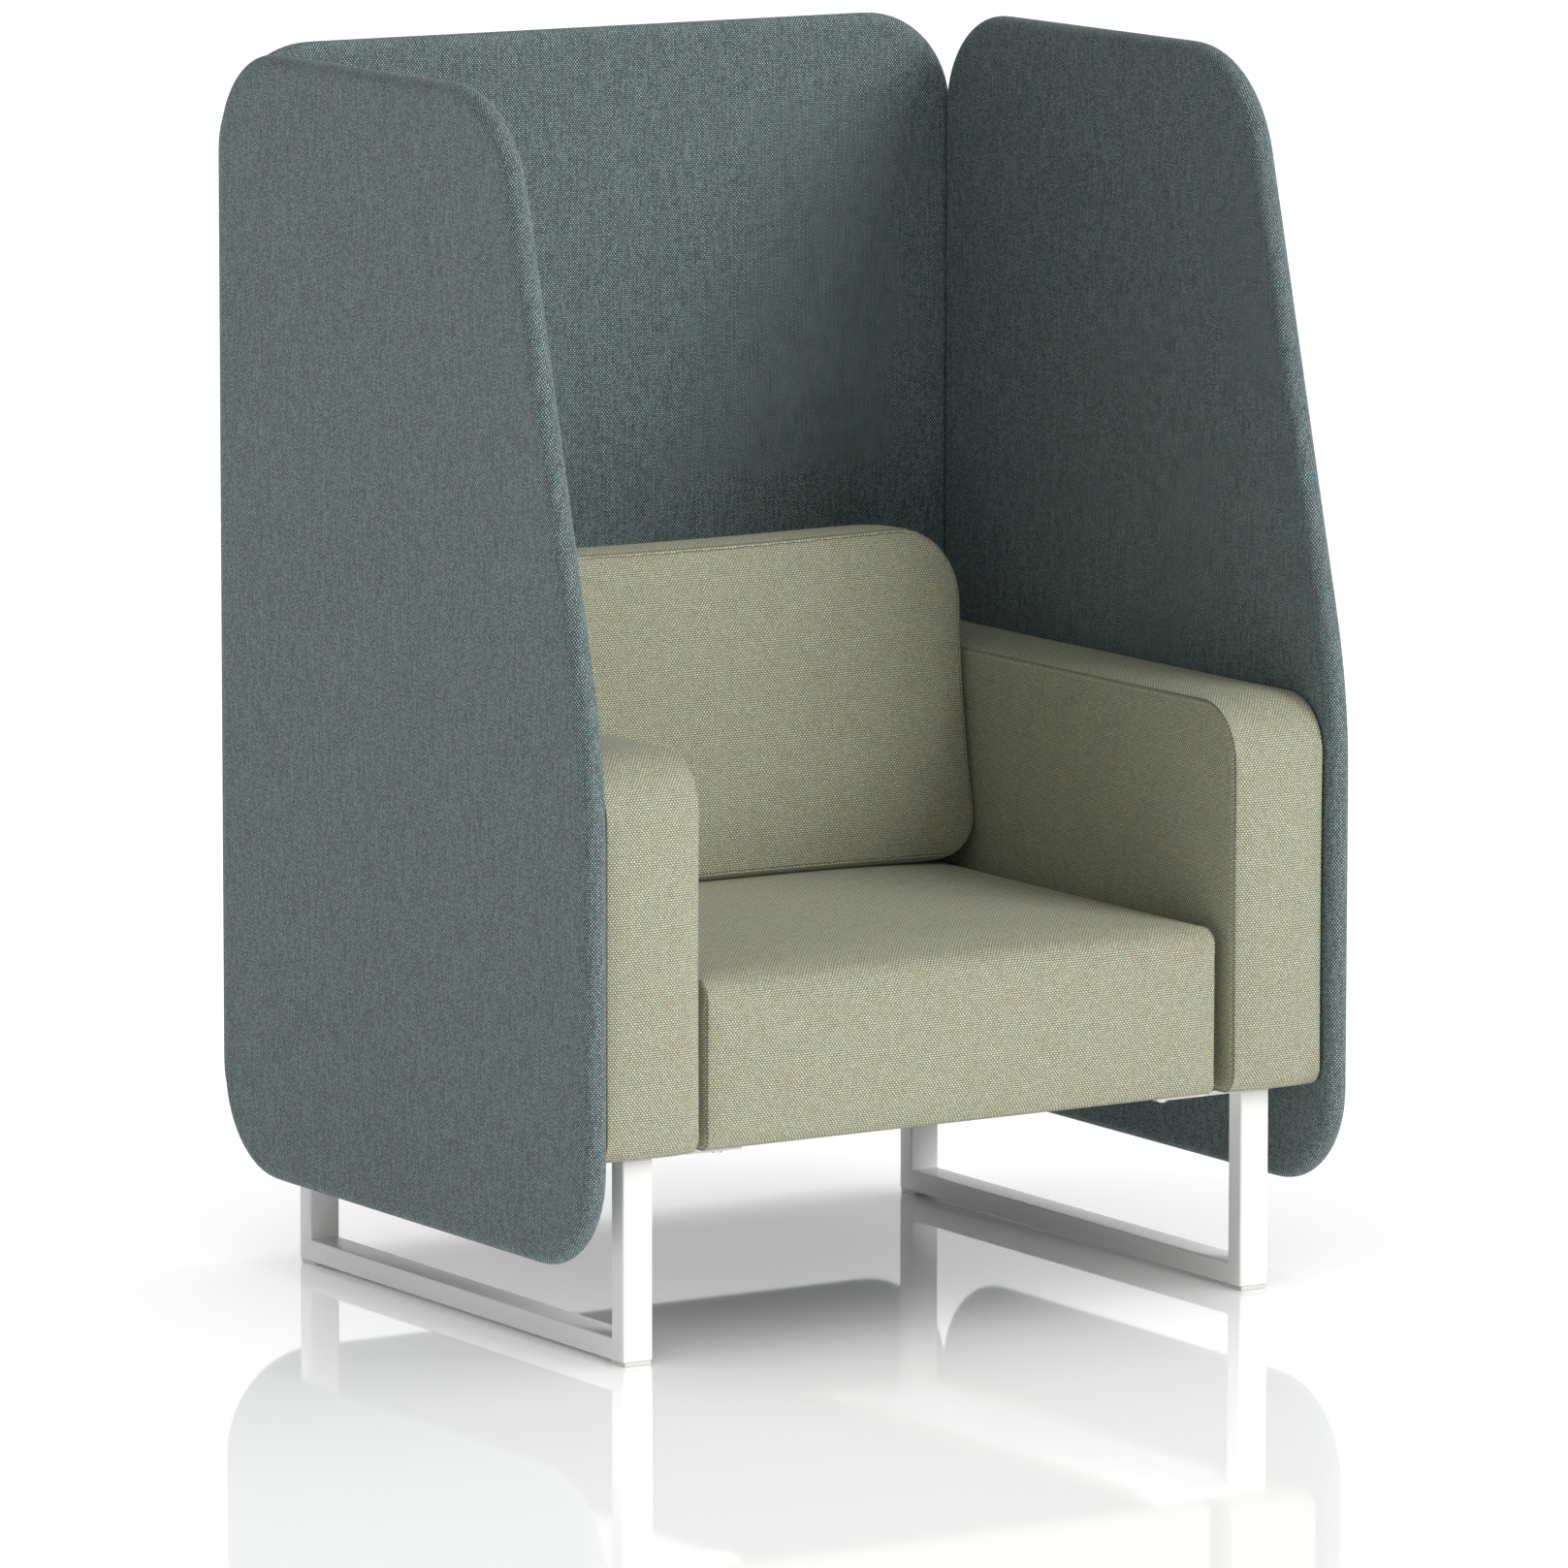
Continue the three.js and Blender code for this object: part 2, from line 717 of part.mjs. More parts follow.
function addBackUnit(group) {
  const outside = boardAcross(backOutline(0, underside), [-backHalf, backHalf]);
  const inHalf = backHalf - backSkin;
  const inside = boardAcross(backOutline(backSkin, underside - overrun), [-inHalf, inHalf]);
  place(group, "back_unit_cover", cut(outside, inside, ...backScreenHoles()), seatFabric);
  const half = inHalf - touch;
  const high = [underside, backTop - backSkin - backEdge];
  const rear = block([-half, half], [backBoltStart, backBoardRear], high);
  place(group, "back_unit_rear_board", cut(rear, ...backScreenHoles()), plywood);
  const skin = backSkin + touch;
  const shift = leanBoard / Math.cos(cushionLean);
  const lean = [
    [backFront + skin, underside],
    [backFront + skin + shift, underside],
    [backFront + skin + shift, seatSeamHeight],
    [leanAt(high[1]) + skin + shift, high[1]],
    [leanAt(high[1]) + skin, high[1]],
    [backFront + skin, seatSeamHeight],
  ];
  place(group, "back_unit_lean_board", boardAcross(lean, [-half, half]), plywood);
  const between = [backFront + skin + shift + touch, backBoltStart - touch];
  const base = block([-half, half], between, [underside, underside + backRailHeight]);
  place(group, "back_unit_base_rail", cut(base, ...bothHoles()), softwood);
  backBoltPlaces.forEach(([x, z], i) => {
    const made = alongY(bolt(backBoltEnd - backBoltStart)).translate(x, backBoltStart, z);
    place(group, "back_screen_bolt_" + (i + 1), made, zincSteel);
  });
}

function addBackScreen(group) {
  const toPoint = (x, z, off) => new THREE.Vector3(x, backScreenMiddle - off, z);
  const pad = skinOver(padRings(backScreenOutline, toPoint));
  const half = coreThickness / 2;
  const span = [backScreenMiddle - half, backScreenMiddle + half];
  const pocketSpan = [span[0] - touch, span[1] + touch];
  const pocket = boardAlong(backScreenOutline(corePad - touch), pocketSpan);
  const reach = (backScreenHalf - screenCorner) * slotShare;
  const slot = block([-reach, reach], pocketSpan, slotHeights);
  const holes = backScreenHoles();
  place(group, "back_screen_cover", cut(pad, pocket, slot, ...holes), screenFabric);
  const core = boardAlong(backScreenOutline(corePad), span);
  place(group, "back_screen_core", cut(core, ...holes), plywood);
}

// Back cushion: a boxed cushion that leans on the back unit, crowned at the front and the rear

const cushionSideGap = 4;
const cushionHeight = 384;
const cushionBorder = 108;
const cushionTopCorner = 85;
const cushionBottomCorner = 50;
const cushionCrown = 18;
const cushionRearCrown = 8;
const cushionSwell = 3;
const cushionPull = 3;
const cushionSkin = 3;
const borderSteps = 3;
const cushionFootRise = 13.5;
const zipLength = 420;
const zipWidth = 4;

const cushionWidth = 2 * (armInner - cushionSideGap);

// The cushion's outline across and up, with its sides pulled in between the corners.
function cushionOutline(inset) {
  const half = cushionWidth / 2 - inset;
  const [low, high] = [inset, cushionHeight - inset];
  const topCorner = cushionTopCorner - inset;
  const bottomCorner = cushionBottomCorner - inset;
  const corners = [
    { at: [-half, low], radius: bottomCorner },
    { at: [half, low], radius: bottomCorner },
    { at: [half, high], radius: topCorner },
    { at: [-half, high], radius: topCorner },
  ];
  const ring = rounded(corners);
  const points = [];
  ring.forEach((here, i) => {
    points.push(here);
    if (i % (cornerSteps + 1) !== cornerSteps) return;
    const next = ring[(i + 1) % ring.length];
    for (let step = 1; step < sideSteps; step++) {
      const share = step / sideSteps;
      const pull = cushionPull * 4 * share * (1 - share);
      const point = here.map((value, axis) => value + (next[axis] - value) * share);
      const across = Math.abs(next[0] - here[0]) < Math.abs(next[1] - here[1]);
      if (across) point[0] -= Math.sign(point[0]) * pull;
      else point[1] += Math.sign(cushionHeight / 2 - point[1]) * pull;
      points.push(point);
    }
  });
  return points;
}

const cushionTopShares = [0.7, 0.42, 0.2, 0.07];

const cushionFoot = seatSeamHeight + cushionFootRise;
const cushionFront =
  leanAt(cushionFoot) - (cushionBorder + cushionRearCrown + touch) / Math.cos(cushionLean);

// The cushion's form drawn in by a skin, leaning back and hollowed underneath by the seat's crown.
function cushionForm(skin) {
  const rings = [];
  const middle = cushionHeight / 2;
  const faceRing = (share, depth) =>
    cushionOutline(skin).map(([x, up]) => [x * (1 - share), up + (middle - up) * share, depth]);
  for (const share of cushionTopShares) {
    rings.push(faceRing(share, skin - cushionCrown * (1 - (1 - share) ** crownSharpness)));
  }
  for (let step = 0; step <= borderSteps; step++) {
    const share = step / borderSteps;
    const inset = skin - cushionSwell * 4 * share * (1 - share);
    const depth = skin + (cushionBorder - 2 * skin) * share;
    rings.push(cushionOutline(inset).map(([x, up]) => [x, up, depth]));
  }
  for (const share of [...cushionTopShares].reverse()) {
    const rise = cushionRearCrown * (1 - (1 - share) ** crownSharpness);
    rings.push(faceRing(share, cushionBorder - skin + rise));
  }
  const tilt = new THREE.Matrix4().makeRotationX(-cushionLean);
  const foot = new THREE.Vector3(0, cushionFront, cushionFoot);
  const form = skinOver(
    rings.map((ring) =>
      ring.map(([x, up, depth]) => new THREE.Vector3(x, depth, up).applyMatrix4(tilt).add(foot)),
    ),
  );
  return cut(form, seatForm(-skin - touch, underside, false));
}

function addBackCushion(group) {
  const zipMiddle = cushionFront + cushionBorder / 2;
  const zip = block(
    [-zipLength / 2, zipLength / 2],
    [zipMiddle - zipWidth / 2, zipMiddle + zipWidth / 2],
    [seatSeamHeight, seatSeamHeight + seatCrown + cushionSkin + 2 * touch],
  );
  const cover = cut(cushionForm(0), cushionForm(cushionSkin), zip);
  place(group, "back_cushion_cover", cover, seatFabric);
  place(group, "back_cushion_foam", cushionForm(cushionSkin + touch), foamMaterial);
}

// The whole chair: the left side is the right side mirrored

const chair = new THREE.Group();
for (const [side, mirror] of [
  ["right", 1],
  ["left", -1],
]) {
  const half = new THREE.Group();
  half.scale.x = mirror;
  addLegLoop(side, half);
  addArm(side, half);
  addSideScreen(side, half);
  chair.add(half);
}
addSeat(chair);
addBackUnit(chair);
addBackCushion(chair);
addBackScreen(chair);

export default chair;
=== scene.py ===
# %% [markdown]
# # An acoustic high back lounge chair
#
# A boxed armchair stands on a white steel sled base, between three tall padded screens. The packed
# frame holds every piece at its real size and place, in metres, with X to the right, Y to the back
# and Z up. This lesson dresses that frame: it builds the upholstery as sewn forms, the steel as
# rounded tube, and a material for each finish.

# %% Load the frame
import math

import bmesh
import bpy
import numpy as np
from mathutils import Matrix, Vector
from mathutils.bvhtree import BVHTree


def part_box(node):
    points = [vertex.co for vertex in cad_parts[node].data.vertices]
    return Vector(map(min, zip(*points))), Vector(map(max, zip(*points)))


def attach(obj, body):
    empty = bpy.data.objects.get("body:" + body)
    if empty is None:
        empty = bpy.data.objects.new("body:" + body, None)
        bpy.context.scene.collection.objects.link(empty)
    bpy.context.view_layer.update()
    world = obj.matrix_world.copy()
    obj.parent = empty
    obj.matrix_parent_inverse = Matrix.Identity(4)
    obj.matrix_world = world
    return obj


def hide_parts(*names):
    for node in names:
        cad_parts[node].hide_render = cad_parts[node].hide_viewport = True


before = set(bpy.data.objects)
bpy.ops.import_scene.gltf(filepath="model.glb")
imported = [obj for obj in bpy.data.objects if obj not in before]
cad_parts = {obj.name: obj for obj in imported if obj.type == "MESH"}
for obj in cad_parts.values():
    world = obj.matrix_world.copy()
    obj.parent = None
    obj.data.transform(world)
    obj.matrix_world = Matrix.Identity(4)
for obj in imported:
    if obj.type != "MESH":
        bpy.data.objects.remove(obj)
scene = bpy.context.scene
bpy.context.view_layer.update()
mm = 0.001

# %% [markdown]
# ## Camera
#
# The photograph was taken from far off with a long lens, a little above the chair and to its left,
# so upright lines stay upright. The camera is set by the direction it looks in and by the point it
# looks at, which keeps it easy to check against the picture.

# %% Set the camera
view_azimuth = math.radians(-32.185)
view_elevation = math.radians(8.696)
view_roll = math.radians(0.07)
view_distance = 12.9
view_reach = 10 * view_distance
view_aim = Vector((-0.0187, -0.0448, 0.5686))
photo_lens_mm = 264.05


def direction(azimuth, elevation):
    """The way from the chair to a camera or a light. Azimuth 0 is straight before the chair."""
    level = math.cos(elevation)
    return Vector((math.sin(azimuth) * level, -math.cos(azimuth) * level, math.sin(elevation)))


def set_camera():
    data = bpy.data.cameras.new("camera")
    data.lens = photo_lens_mm
    data.clip_end = view_reach
    camera = bpy.data.objects.new("camera", data)
    scene.collection.objects.link(camera)
    back = direction(view_azimuth, view_elevation)
    camera.location = view_aim + back * view_distance
    turn = (-back).to_track_quat("-Z", "Y") @ Matrix.Rotation(view_roll, 3, "Z").to_quaternion()
    camera.rotation_euler = turn.to_euler()
    scene.camera = camera
    print("camera at", [round(value, 2) for value in camera.location])


set_camera()

# %% [markdown]
# ## Node helpers
#
# Every material below is a small program of nodes. These helpers keep each one short: one adds a
# node with its settings and its inputs, and others add a sum, a blend of two colours, a noise or
# what a finish ends with. An input may be a value or the output of another node. SOFT and CLOUDY
# say how much fine detail a noise has.

# %% Define the node helpers
SOFT = 1.0
CLOUDY = 3.0


def add_node(tree, kind, inputs=None, **settings):
    made = tree.nodes.new(kind)
    for name, value in settings.items():
        setattr(made, name, value)
    for name, value in (inputs or {}).items():
        socket = made.inputs[name]
        if isinstance(value, bpy.types.NodeSocket):
            tree.links.new(value, socket)
        else:
            socket.default_value = value
    return made


def sums(tree, operation, *values):
    inputs = dict(enumerate(values))
    return add_node(tree, "ShaderNodeMath", inputs, operation=operation).outputs[0]


def blend(tree, factor, low, high):
    inputs = {"Factor": factor, 6: low, 7: high}
    return add_node(tree, "ShaderNodeMix", inputs, data_type="RGBA").outputs[2]


def remap(tree, value, low, high, to_low=0.0, to_high=1.0):
    """Stretches the values between two bounds to lie between two others, and clips the rest."""
    inputs = {0: value, 1: low, 2: high, 3: to_low, 4: to_high}
    return add_node(tree, "ShaderNodeMapRange", inputs).outputs[0]


def noise(tree, place, scale, detail=SOFT, dimensions="3D", distortion=0.0):
    """A random pattern: its first output is a value, and its second is a colour."""
    inputs = {"Vector": place, "Scale": scale, "Detail": detail, "Distortion": distortion}
    return add_node(tree, "ShaderNodeTexNoise", inputs, noise_dimensions=dimensions).outputs


def object_place(tree):
    return tree.nodes.new("ShaderNodeTexCoord").outputs["Object"]


def color(red, green, blue):
    return (red, green, blue, 1.0)


# %% Start a group and a material


def new_group(name, inputs, outputs, tree_type="ShaderNodeTree"):
    """A group of nodes, with what it is given and what it puts out."""
    group = bpy.data.node_groups.new(name, tree_type)
    for label, kind in inputs.items():
        group.interface.new_socket(label, in_out="INPUT", socket_type="NodeSocket" + kind)
    for label, kind in outputs.items():
        group.interface.new_socket(label, in_out="OUTPUT", socket_type="NodeSocket" + kind)
    entry = group.nodes.new("NodeGroupInput")
    leave = group.nodes.new("NodeGroupOutput")
    return group, entry.outputs, leave.inputs


def new_material(name):
    material = bpy.data.materials.new(name)
    material.use_nodes = True
    tree = material.node_tree
    return material, tree, tree.nodes["Principled BSDF"].inputs


def finish_with(tree, shader, shade, height, relief, roughness):
    """Feeds a shade and the bumps of a height to the shader, and sets its roughness."""
    tree.links.new(shade, shader["Base Color"])
    bump = add_node(tree, "ShaderNodeBump", {"Height": height, "Distance": relief})
    tree.links.new(bump.outputs[0], shader["Normal"])
    shader["Roughness"].default_value = roughness


# %% [markdown]
# ## Floor and light
#
# The chair was pictured on a glossy white floor before a plain white ground. One large soft key
# light stands to the right of the camera and a little above it. A very wide front light and the
# white room fill the shadows between the screens. The world is bright where the camera and the
# reflections see it and dimmer where it lights the chair, so the ground stays white without washing
# out the fabric. The floor shows no shadow of the key light, only a soft one round the chair's
# foot. So each light is linked: the key and the front light reach all but the floor, and a wide
# light from high on the left lights the floor alone.

# %% Set the floor
floor_size = 60.0
floor_gloss = 1.6
floor_shade = color(0.9, 0.9, 0.9)
floor_roughness = 0.04


def set_floor():
    material, _, shader = new_material("studio_floor")
    shader["Base Color"].default_value = floor_shade
    shader["Roughness"].default_value = floor_roughness
    shader["IOR"].default_value = floor_gloss
    bpy.ops.mesh.primitive_plane_add(size=floor_size)
    made = bpy.context.object
    made.name = "studio_floor"
    made.data.materials.append(material)
    return made


floor = set_floor()
print("floor:", floor.name)

# %% Set the lights
key_strength = 2.15
key_width = math.radians(34)
key_side = direction(math.radians(31), math.radians(29))
front_strength = 0.3
front_side = direction(math.radians(20), math.radians(15))
floor_strength = 4.0
floor_side = direction(math.radians(-20), math.radians(58))
wide = math.radians(150)
fill_strength = 0.33
ground_strength = 1.05
white = color(1, 1, 1)


def set_world():
    """A white world that is brighter where it is seen than where it lights the chair."""
    world = bpy.data.worlds.new("studio_world")
    scene.world = world
    world.use_nodes = True
    tree = world.node_tree
    rays = tree.nodes.new("ShaderNodeLightPath").outputs
    seen = sums(tree, "MAXIMUM", rays["Is Camera Ray"], rays["Is Glossy Ray"])
    strength = sums(tree, "MULTIPLY_ADD", seen, ground_strength - fill_strength, fill_strength)
    background = tree.nodes["Background"].inputs
    background["Color"].default_value = white
    tree.links.new(strength, background["Strength"])


def set_light(name, strength, width, side, link_state):
    """A far light of some width that lights all but the floor, or the floor alone."""
    data = bpy.data.lights.new(name, "SUN")
    data.energy = strength
    data.angle = width
    light = bpy.data.objects.new(name, data)
    light.rotation_euler = side.to_track_quat("Z", "Y").to_euler()
    scene.collection.objects.link(light)
    lit = bpy.data.collections.new(name + "_receivers")
    lit.objects.link(floor)
    lit.collection_objects[0].light_linking.link_state = link_state
    light.light_linking.receiver_collection = lit


scene.view_settings.view_transform = "Standard"
set_world()
set_light("key_light", key_strength, key_width, key_side, "EXCLUDE")
set_light("front_light", front_strength, wide, front_side, "EXCLUDE")
set_light("floor_light", floor_strength, wide, floor_side, "INCLUDE")

# %% [markdown]
# ## Woven cloth
#
# Both fabrics are plain weaves of thick soft yarns: every yarn passes over one crossing yarn and
# under the next. So the cloth is a brickwork of small oval floats, those of the weft in the cells
# of one colour of a chequerboard and those of the warp in the others. No loom is exact: the yarns
# waver a little, and each float is a little fuller or thinner than the next. Each has its own shade
# too, because the yarns are spun from mixed fibres, and faint warm and cool patches drift over the
# cloth. One group does this for both fabrics. It reads the piece's own UV map, which is laid out in
# metres along the cloth.

# %% Draw the floats of the weave
# How fast a float falls off over its column and over its row, for a warp float and a weft float.
column_falls = (1.0, 0.4)
row_falls = (0.85, 1.0)
# The step in the noise from one yarn to the next, so that neighbours have nothing in common.
yarn_stride = 7.31


def float_height(group, cell_u, cell_v, over):
    """The rounded top of one float, which falls off faster across its yarn than along it.

    over is 0 where the warp lies on top and 1 where the weft does, and picks one of two falls.
    """
    parts = []
    for cell, (warp_fall, weft_fall) in ((cell_u, column_falls), (cell_v, row_falls)):
        offset = sums(group, "MULTIPLY_ADD", cell, 2.0, -1.0)
        fall = sums(group, "MULTIPLY_ADD", over, weft_fall - warp_fall, warp_fall)
        parts.append(sums(group, "MULTIPLY", sums(group, "MULTIPLY", offset, offset), fall))
    return sums(group, "MAXIMUM", sums(group, "SUBTRACT", 1.0, sums(group, "ADD", *parts)), 0.0)


def yarn_shade(group, number, length, given, chance):
    """How pale a float is: its yarn drifts slowly along its length, and chance does the rest."""
    along = sums(group, "DIVIDE", length, given["Drift length"])
    apart = sums(group, "MULTIPLY", number, yarn_stride)
    spot = add_node(group, "ShaderNodeCombineXYZ", {0: apart, 1: along}).outputs[0]
    drift = noise(group, spot, 1.0, dimensions="2D")[0]
    shade = sums(group, "MULTIPLY_ADD", sums(group, "SUBTRACT", chance, 0.5), given["Spread"], drift)
    return sums(group, "MINIMUM", sums(group, "MAXIMUM", shade, 0.0), 1.0)


# %% Build the weave group
waver_scale = 140.0
thinnest_share = 0.85
fuller_share = 0.3
painted_shade_height = 0.6
patch_bounds = {"Warm": (0.55, 0.75), "Cool": (0.45, 0.25)}
weave_inputs = {"Warp spacing": "Float", "Weft spacing": "Float", "Waver": "Float",
                "Drift length": "Float", "Spread": "Float", "Patch size": "Float",
                "Warp dark": "Color", "Warp light": "Color", "Weft dark": "Color",
                "Weft light": "Color", "Gap": "Color", "Warm": "Color", "Cool": "Color"}


def weave_patches(group, given, uv, yarn):
    """Warms and cools the yarns in soft patches."""
    spot = add_node(group, "ShaderNodeVectorMath", {0: uv}, operation="SCALE")
    group.links.new(sums(group, "DIVIDE", 1.0, given["Patch size"]), spot.inputs["Scale"])
    patch = noise(group, spot.outputs[0], 1.0, CLOUDY, "2D")[0]
    for tint, (start, end) in patch_bounds.items():
        tinted = add_node(group, "ShaderNodeMix", {"Factor": 1.0, 6: yarn, 7: given[tint]},
                          data_type="RGBA", blend_type="MULTIPLY").outputs[2]
        yarn = blend(group, remap(group, patch, start, end), yarn, tinted)
    return yarn


def build_weave():
    group, given, put = new_group("plain_weave", weave_inputs, {"Color": "Color", "Height": "Float"})
    uv = add_node(group, "ShaderNodeUVMap", uv_map="cloth").outputs[0]
    wander = noise(group, uv, waver_scale, dimensions="2D")[1]
    wavy = add_node(group, "ShaderNodeVectorMath", {0: wander, 1: given["Waver"], 2: uv},
                    operation="MULTIPLY_ADD").outputs[0]
    place = add_node(group, "ShaderNodeSeparateXYZ", {0: wavy}).outputs
    across = sums(group, "DIVIDE", place[0], given["Warp spacing"])
    along = sums(group, "DIVIDE", place[1], given["Weft spacing"])
    column = sums(group, "FLOOR", across)
    row = sums(group, "FLOOR", along)
    over = sums(group, "FLOORED_MODULO", sums(group, "ADD", column, row), 2.0)
    cell = add_node(group, "ShaderNodeCombineXYZ", {0: column, 1: row}).outputs[0]
    chance = add_node(group, "ShaderNodeTexWhiteNoise", {"Vector": cell}, noise_dimensions="2D").outputs[0]
    fullness = sums(group, "MULTIPLY_ADD", chance, fuller_share, thinnest_share)
    rounded = float_height(group, sums(group, "FRACT", across), sums(group, "FRACT", along), over)
    height = sums(group, "MULTIPLY", rounded, fullness)
    warp_shade = yarn_shade(group, column, place[1], given, chance)
    weft_shade = yarn_shade(group, row, place[0], given, chance)
    warp = blend(group, warp_shade, given["Warp dark"], given["Warp light"])
    weft = blend(group, weft_shade, given["Weft dark"], given["Weft light"])
    yarn = weave_patches(group, given, uv, blend(group, over, warp, weft))
    # Painted shade: the low cloth between the floats is blended towards the dark gap colour, as the hollows
    # of the weave would be shaded.
    depth = remap(group, height, 0.0, painted_shade_height)
    group.links.new(blend(group, depth, given["Gap"], yarn), put["Color"])
    group.links.new(height, put["Height"])
    return group


weave = build_weave()
print("weave group:", len(weave.nodes), "nodes")

# %% [markdown]
# ## The two fabrics
#
# The screens wear a blue-grey weave of a pale warp and a nearly black weft, so fine pale streaks
# run upwards. The seat, the arms and the cushion wear a coarser weave of an olive warp and a cream
# weft. The spacing of the yarns was measured in the picture. Where two panels are sewn together the
# cloth dips into the seam, and a soft line of painted shade is laid there in the dark colour of the
# weave's gaps. The pieces carry how deep each point lies in a seam as an attribute.

# %% Make the fabrics
seam_painted_shade_share = 0.8
cloth_relief = 0.4 * mm
cloth_roughness = 0.8
cloth_sheen = 0.1
cloth_sheen_roughness = 0.5


def fabric(name, values):
    material, tree, shader = new_material(name)
    cloth = add_node(tree, "ShaderNodeGroup", values, node_tree=weave)
    seam = add_node(tree, "ShaderNodeAttribute", attribute_name="seam").outputs["Fac"]
    # Painted shade: the cloth is darkened towards the gap colour as deep as it lies in a seam.
    dark = sums(tree, "MULTIPLY", seam, seam_painted_shade_share)
    shade = blend(tree, dark, cloth.outputs["Color"], values["Gap"])
    finish_with(tree, shader, shade, cloth.outputs["Height"], cloth_relief, cloth_roughness)
    shader["Sheen Weight"].default_value = cloth_sheen
    shader["Sheen Roughness"].default_value = cloth_sheen_roughness
    return material


screen_fabric = fabric("screen_weave", {
    "Warp spacing": 1.75 * mm, "Weft spacing": 2.2 * mm, "Waver": 0.3 * mm,
    "Drift length": 35 * mm, "Spread": 0.7, "Patch size": 30 * mm,
    "Warp dark": color(0.155, 0.217, 0.212), "Warp light": color(0.5, 0.65, 0.64),
    "Weft dark": color(0.024, 0.036, 0.038), "Weft light": color(0.085, 0.12, 0.125),
    "Gap": color(0.012, 0.017, 0.019), "Warm": color(1.0, 0.93, 0.97), "Cool": color(0.9, 1.0, 1.01),
})
seat_fabric = fabric("seat_weave", {
    "Warp spacing": 1.94 * mm, "Weft spacing": 2.53 * mm, "Waver": 1.2 * mm,
    "Drift length": 20 * mm, "Spread": 0.7, "Patch size": 30 * mm,
    "Warp dark": color(0.235, 0.242, 0.157), "Warp light": color(0.375, 0.385, 0.267),
    "Weft dark": color(0.53, 0.535, 0.39), "Weft light": color(0.73, 0.735, 0.55),
    "Gap": color(0.075, 0.077, 0.043), "Warm": color(1.0, 0.94, 0.87), "Cool": color(0.96, 1.0, 0.98),
})
print("fabrics:", screen_fabric.name, seat_fabric.name)

# %% [markdown]
# ## Mesh helpers
#
# A few small steps come back for every piece: make an object from points and faces, read and move
# its points, take its shape with all modifiers applied, merge its loose points and turn its faces
# outwards, and at last give it a material and its body, and hide the nodes that it stands for.

# %% Define the mesh helpers
doubles = 0.01 * mm
flat_angle = math.radians(1)


def new_object(name, mesh):
    mesh.name = name
    made = bpy.data.objects.new(name, mesh)
    scene.collection.objects.link(made)
    return made


def smooth(mesh):
    mesh.polygons.foreach_set("use_smooth", [True] * len(mesh.polygons))


def new_piece(name, places, faces, uvs=None, seams=None):
    mesh = bpy.data.meshes.new(name)
    mesh.from_pydata(np.asarray(places).tolist(), [], [list(face) for face in faces])
    if uvs is not None:
        layer = mesh.uv_layers.new(name="cloth")
        layer.data.foreach_set("uv", np.array(uvs, np.float32).ravel())
    if seams is not None:
        mesh.attributes.new("seam", "FLOAT", "POINT").data.foreach_set("value", np.array(seams, np.float32))
    smooth(mesh)
    return new_object(name, mesh)


def places_of(mesh):
    flat = np.empty(len(mesh.vertices) * 3, np.float32)
    mesh.vertices.foreach_get("co", flat)
    return flat.reshape(-1, 3).astype(float)


def move_to(mesh, places):
    mesh.vertices.foreach_set("co", np.asarray(places, np.float32).ravel())
    mesh.update()


def seams_of(piece):
    """How deep in a seam each point lies, from 0 to 1."""
    return np.array([mark.value for mark in piece.data.attributes["seam"].data])


def evaluated(piece):
    return piece.evaluated_get(bpy.context.evaluated_depsgraph_get())


def mend(piece, merge_flat=False):
    """Merges doubled points and turns the faces outwards, and can merge flat faces too."""
    made = bmesh.new()
    made.from_mesh(piece.data)
    bmesh.ops.remove_doubles(made, verts=made.verts, dist=doubles)
    if merge_flat:
        bmesh.ops.dissolve_limit(made, angle_limit=flat_angle, verts=made.verts, edges=made.edges)
    bmesh.ops.recalc_face_normals(made, faces=made.faces)
    made.to_mesh(piece.data)
    made.free()


def ring_faces(rings, sides):
    """Faces between rings of points, in numbers that count round one ring after the other."""
    faces = []
    for first in range(0, (rings - 1) * sides, sides):
        for i in range(sides):
            j = (i + 1) % sides
            faces.append((first + i, first + j, first + sides + j, first + sides + i))
    return faces


def closed_tube(name, places, sides):
    """A piece that runs through rings of points and is closed at both ends."""
    last = len(places) - sides
    ends = [range(sides)[::-1], range(last, last + sides)]
    piece = new_piece(name, places, ring_faces(len(places) // sides, sides) + ends)
    mend(piece)
    return piece


def dress(piece, material, slot, *nodes):
    """Gives a piece its material and its body, and hides the nodes that it stands for. slot is not used."""
    piece.data.materials.clear()
    piece.data.materials.append(material)
    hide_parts(*nodes)
    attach(piece, "root")


# %% [markdown]
# ## Sewn forms
#
# Every upholstered piece of this chair has two flat or crowned panels and a band round them. So one
# builder makes them all: a closed outline with rounded corners, a list of stations that lead over
# the band from one panel's rim to the other's, and a grid that fills each panel between its four
# corners. Everything is four-sided, which keeps the cloth simulation and the subdivision smooth.

# %% Round a corner


def corner_arc(before, here, after, radius, steps):
    """The arc that rounds a corner, and the outward direction at each of its points."""
    back = (before - here) / np.linalg.norm(before - here)
    ahead = (after - here) / np.linalg.norm(after - here)
    half = math.acos(float(back @ ahead)) / 2
    middle = (back + ahead) / np.linalg.norm(back + ahead)
    centre = here + middle * radius / math.sin(half)
    first = here + back * radius / math.tan(half) - centre
    turns = np.linspace(0, math.pi - 2 * half, steps + 1)
    across = first[0] * np.cos(turns) - first[1] * np.sin(turns)
    up = first[0] * np.sin(turns) + first[1] * np.cos(turns)
    spokes = np.stack([across, up], 1)
    return centre + spokes, spokes / radius


def even(count):
    """Shares of a stretch that is cut into equal steps."""
    return [step / count for step in range(1, count)]


def bulge(share):
    """1 in the middle of a stretch and 0 at both of its ends."""
    return 4 * share * (1 - share)


# %% Draw an outline
FOUR_SIDES = 4
least_steps = 2


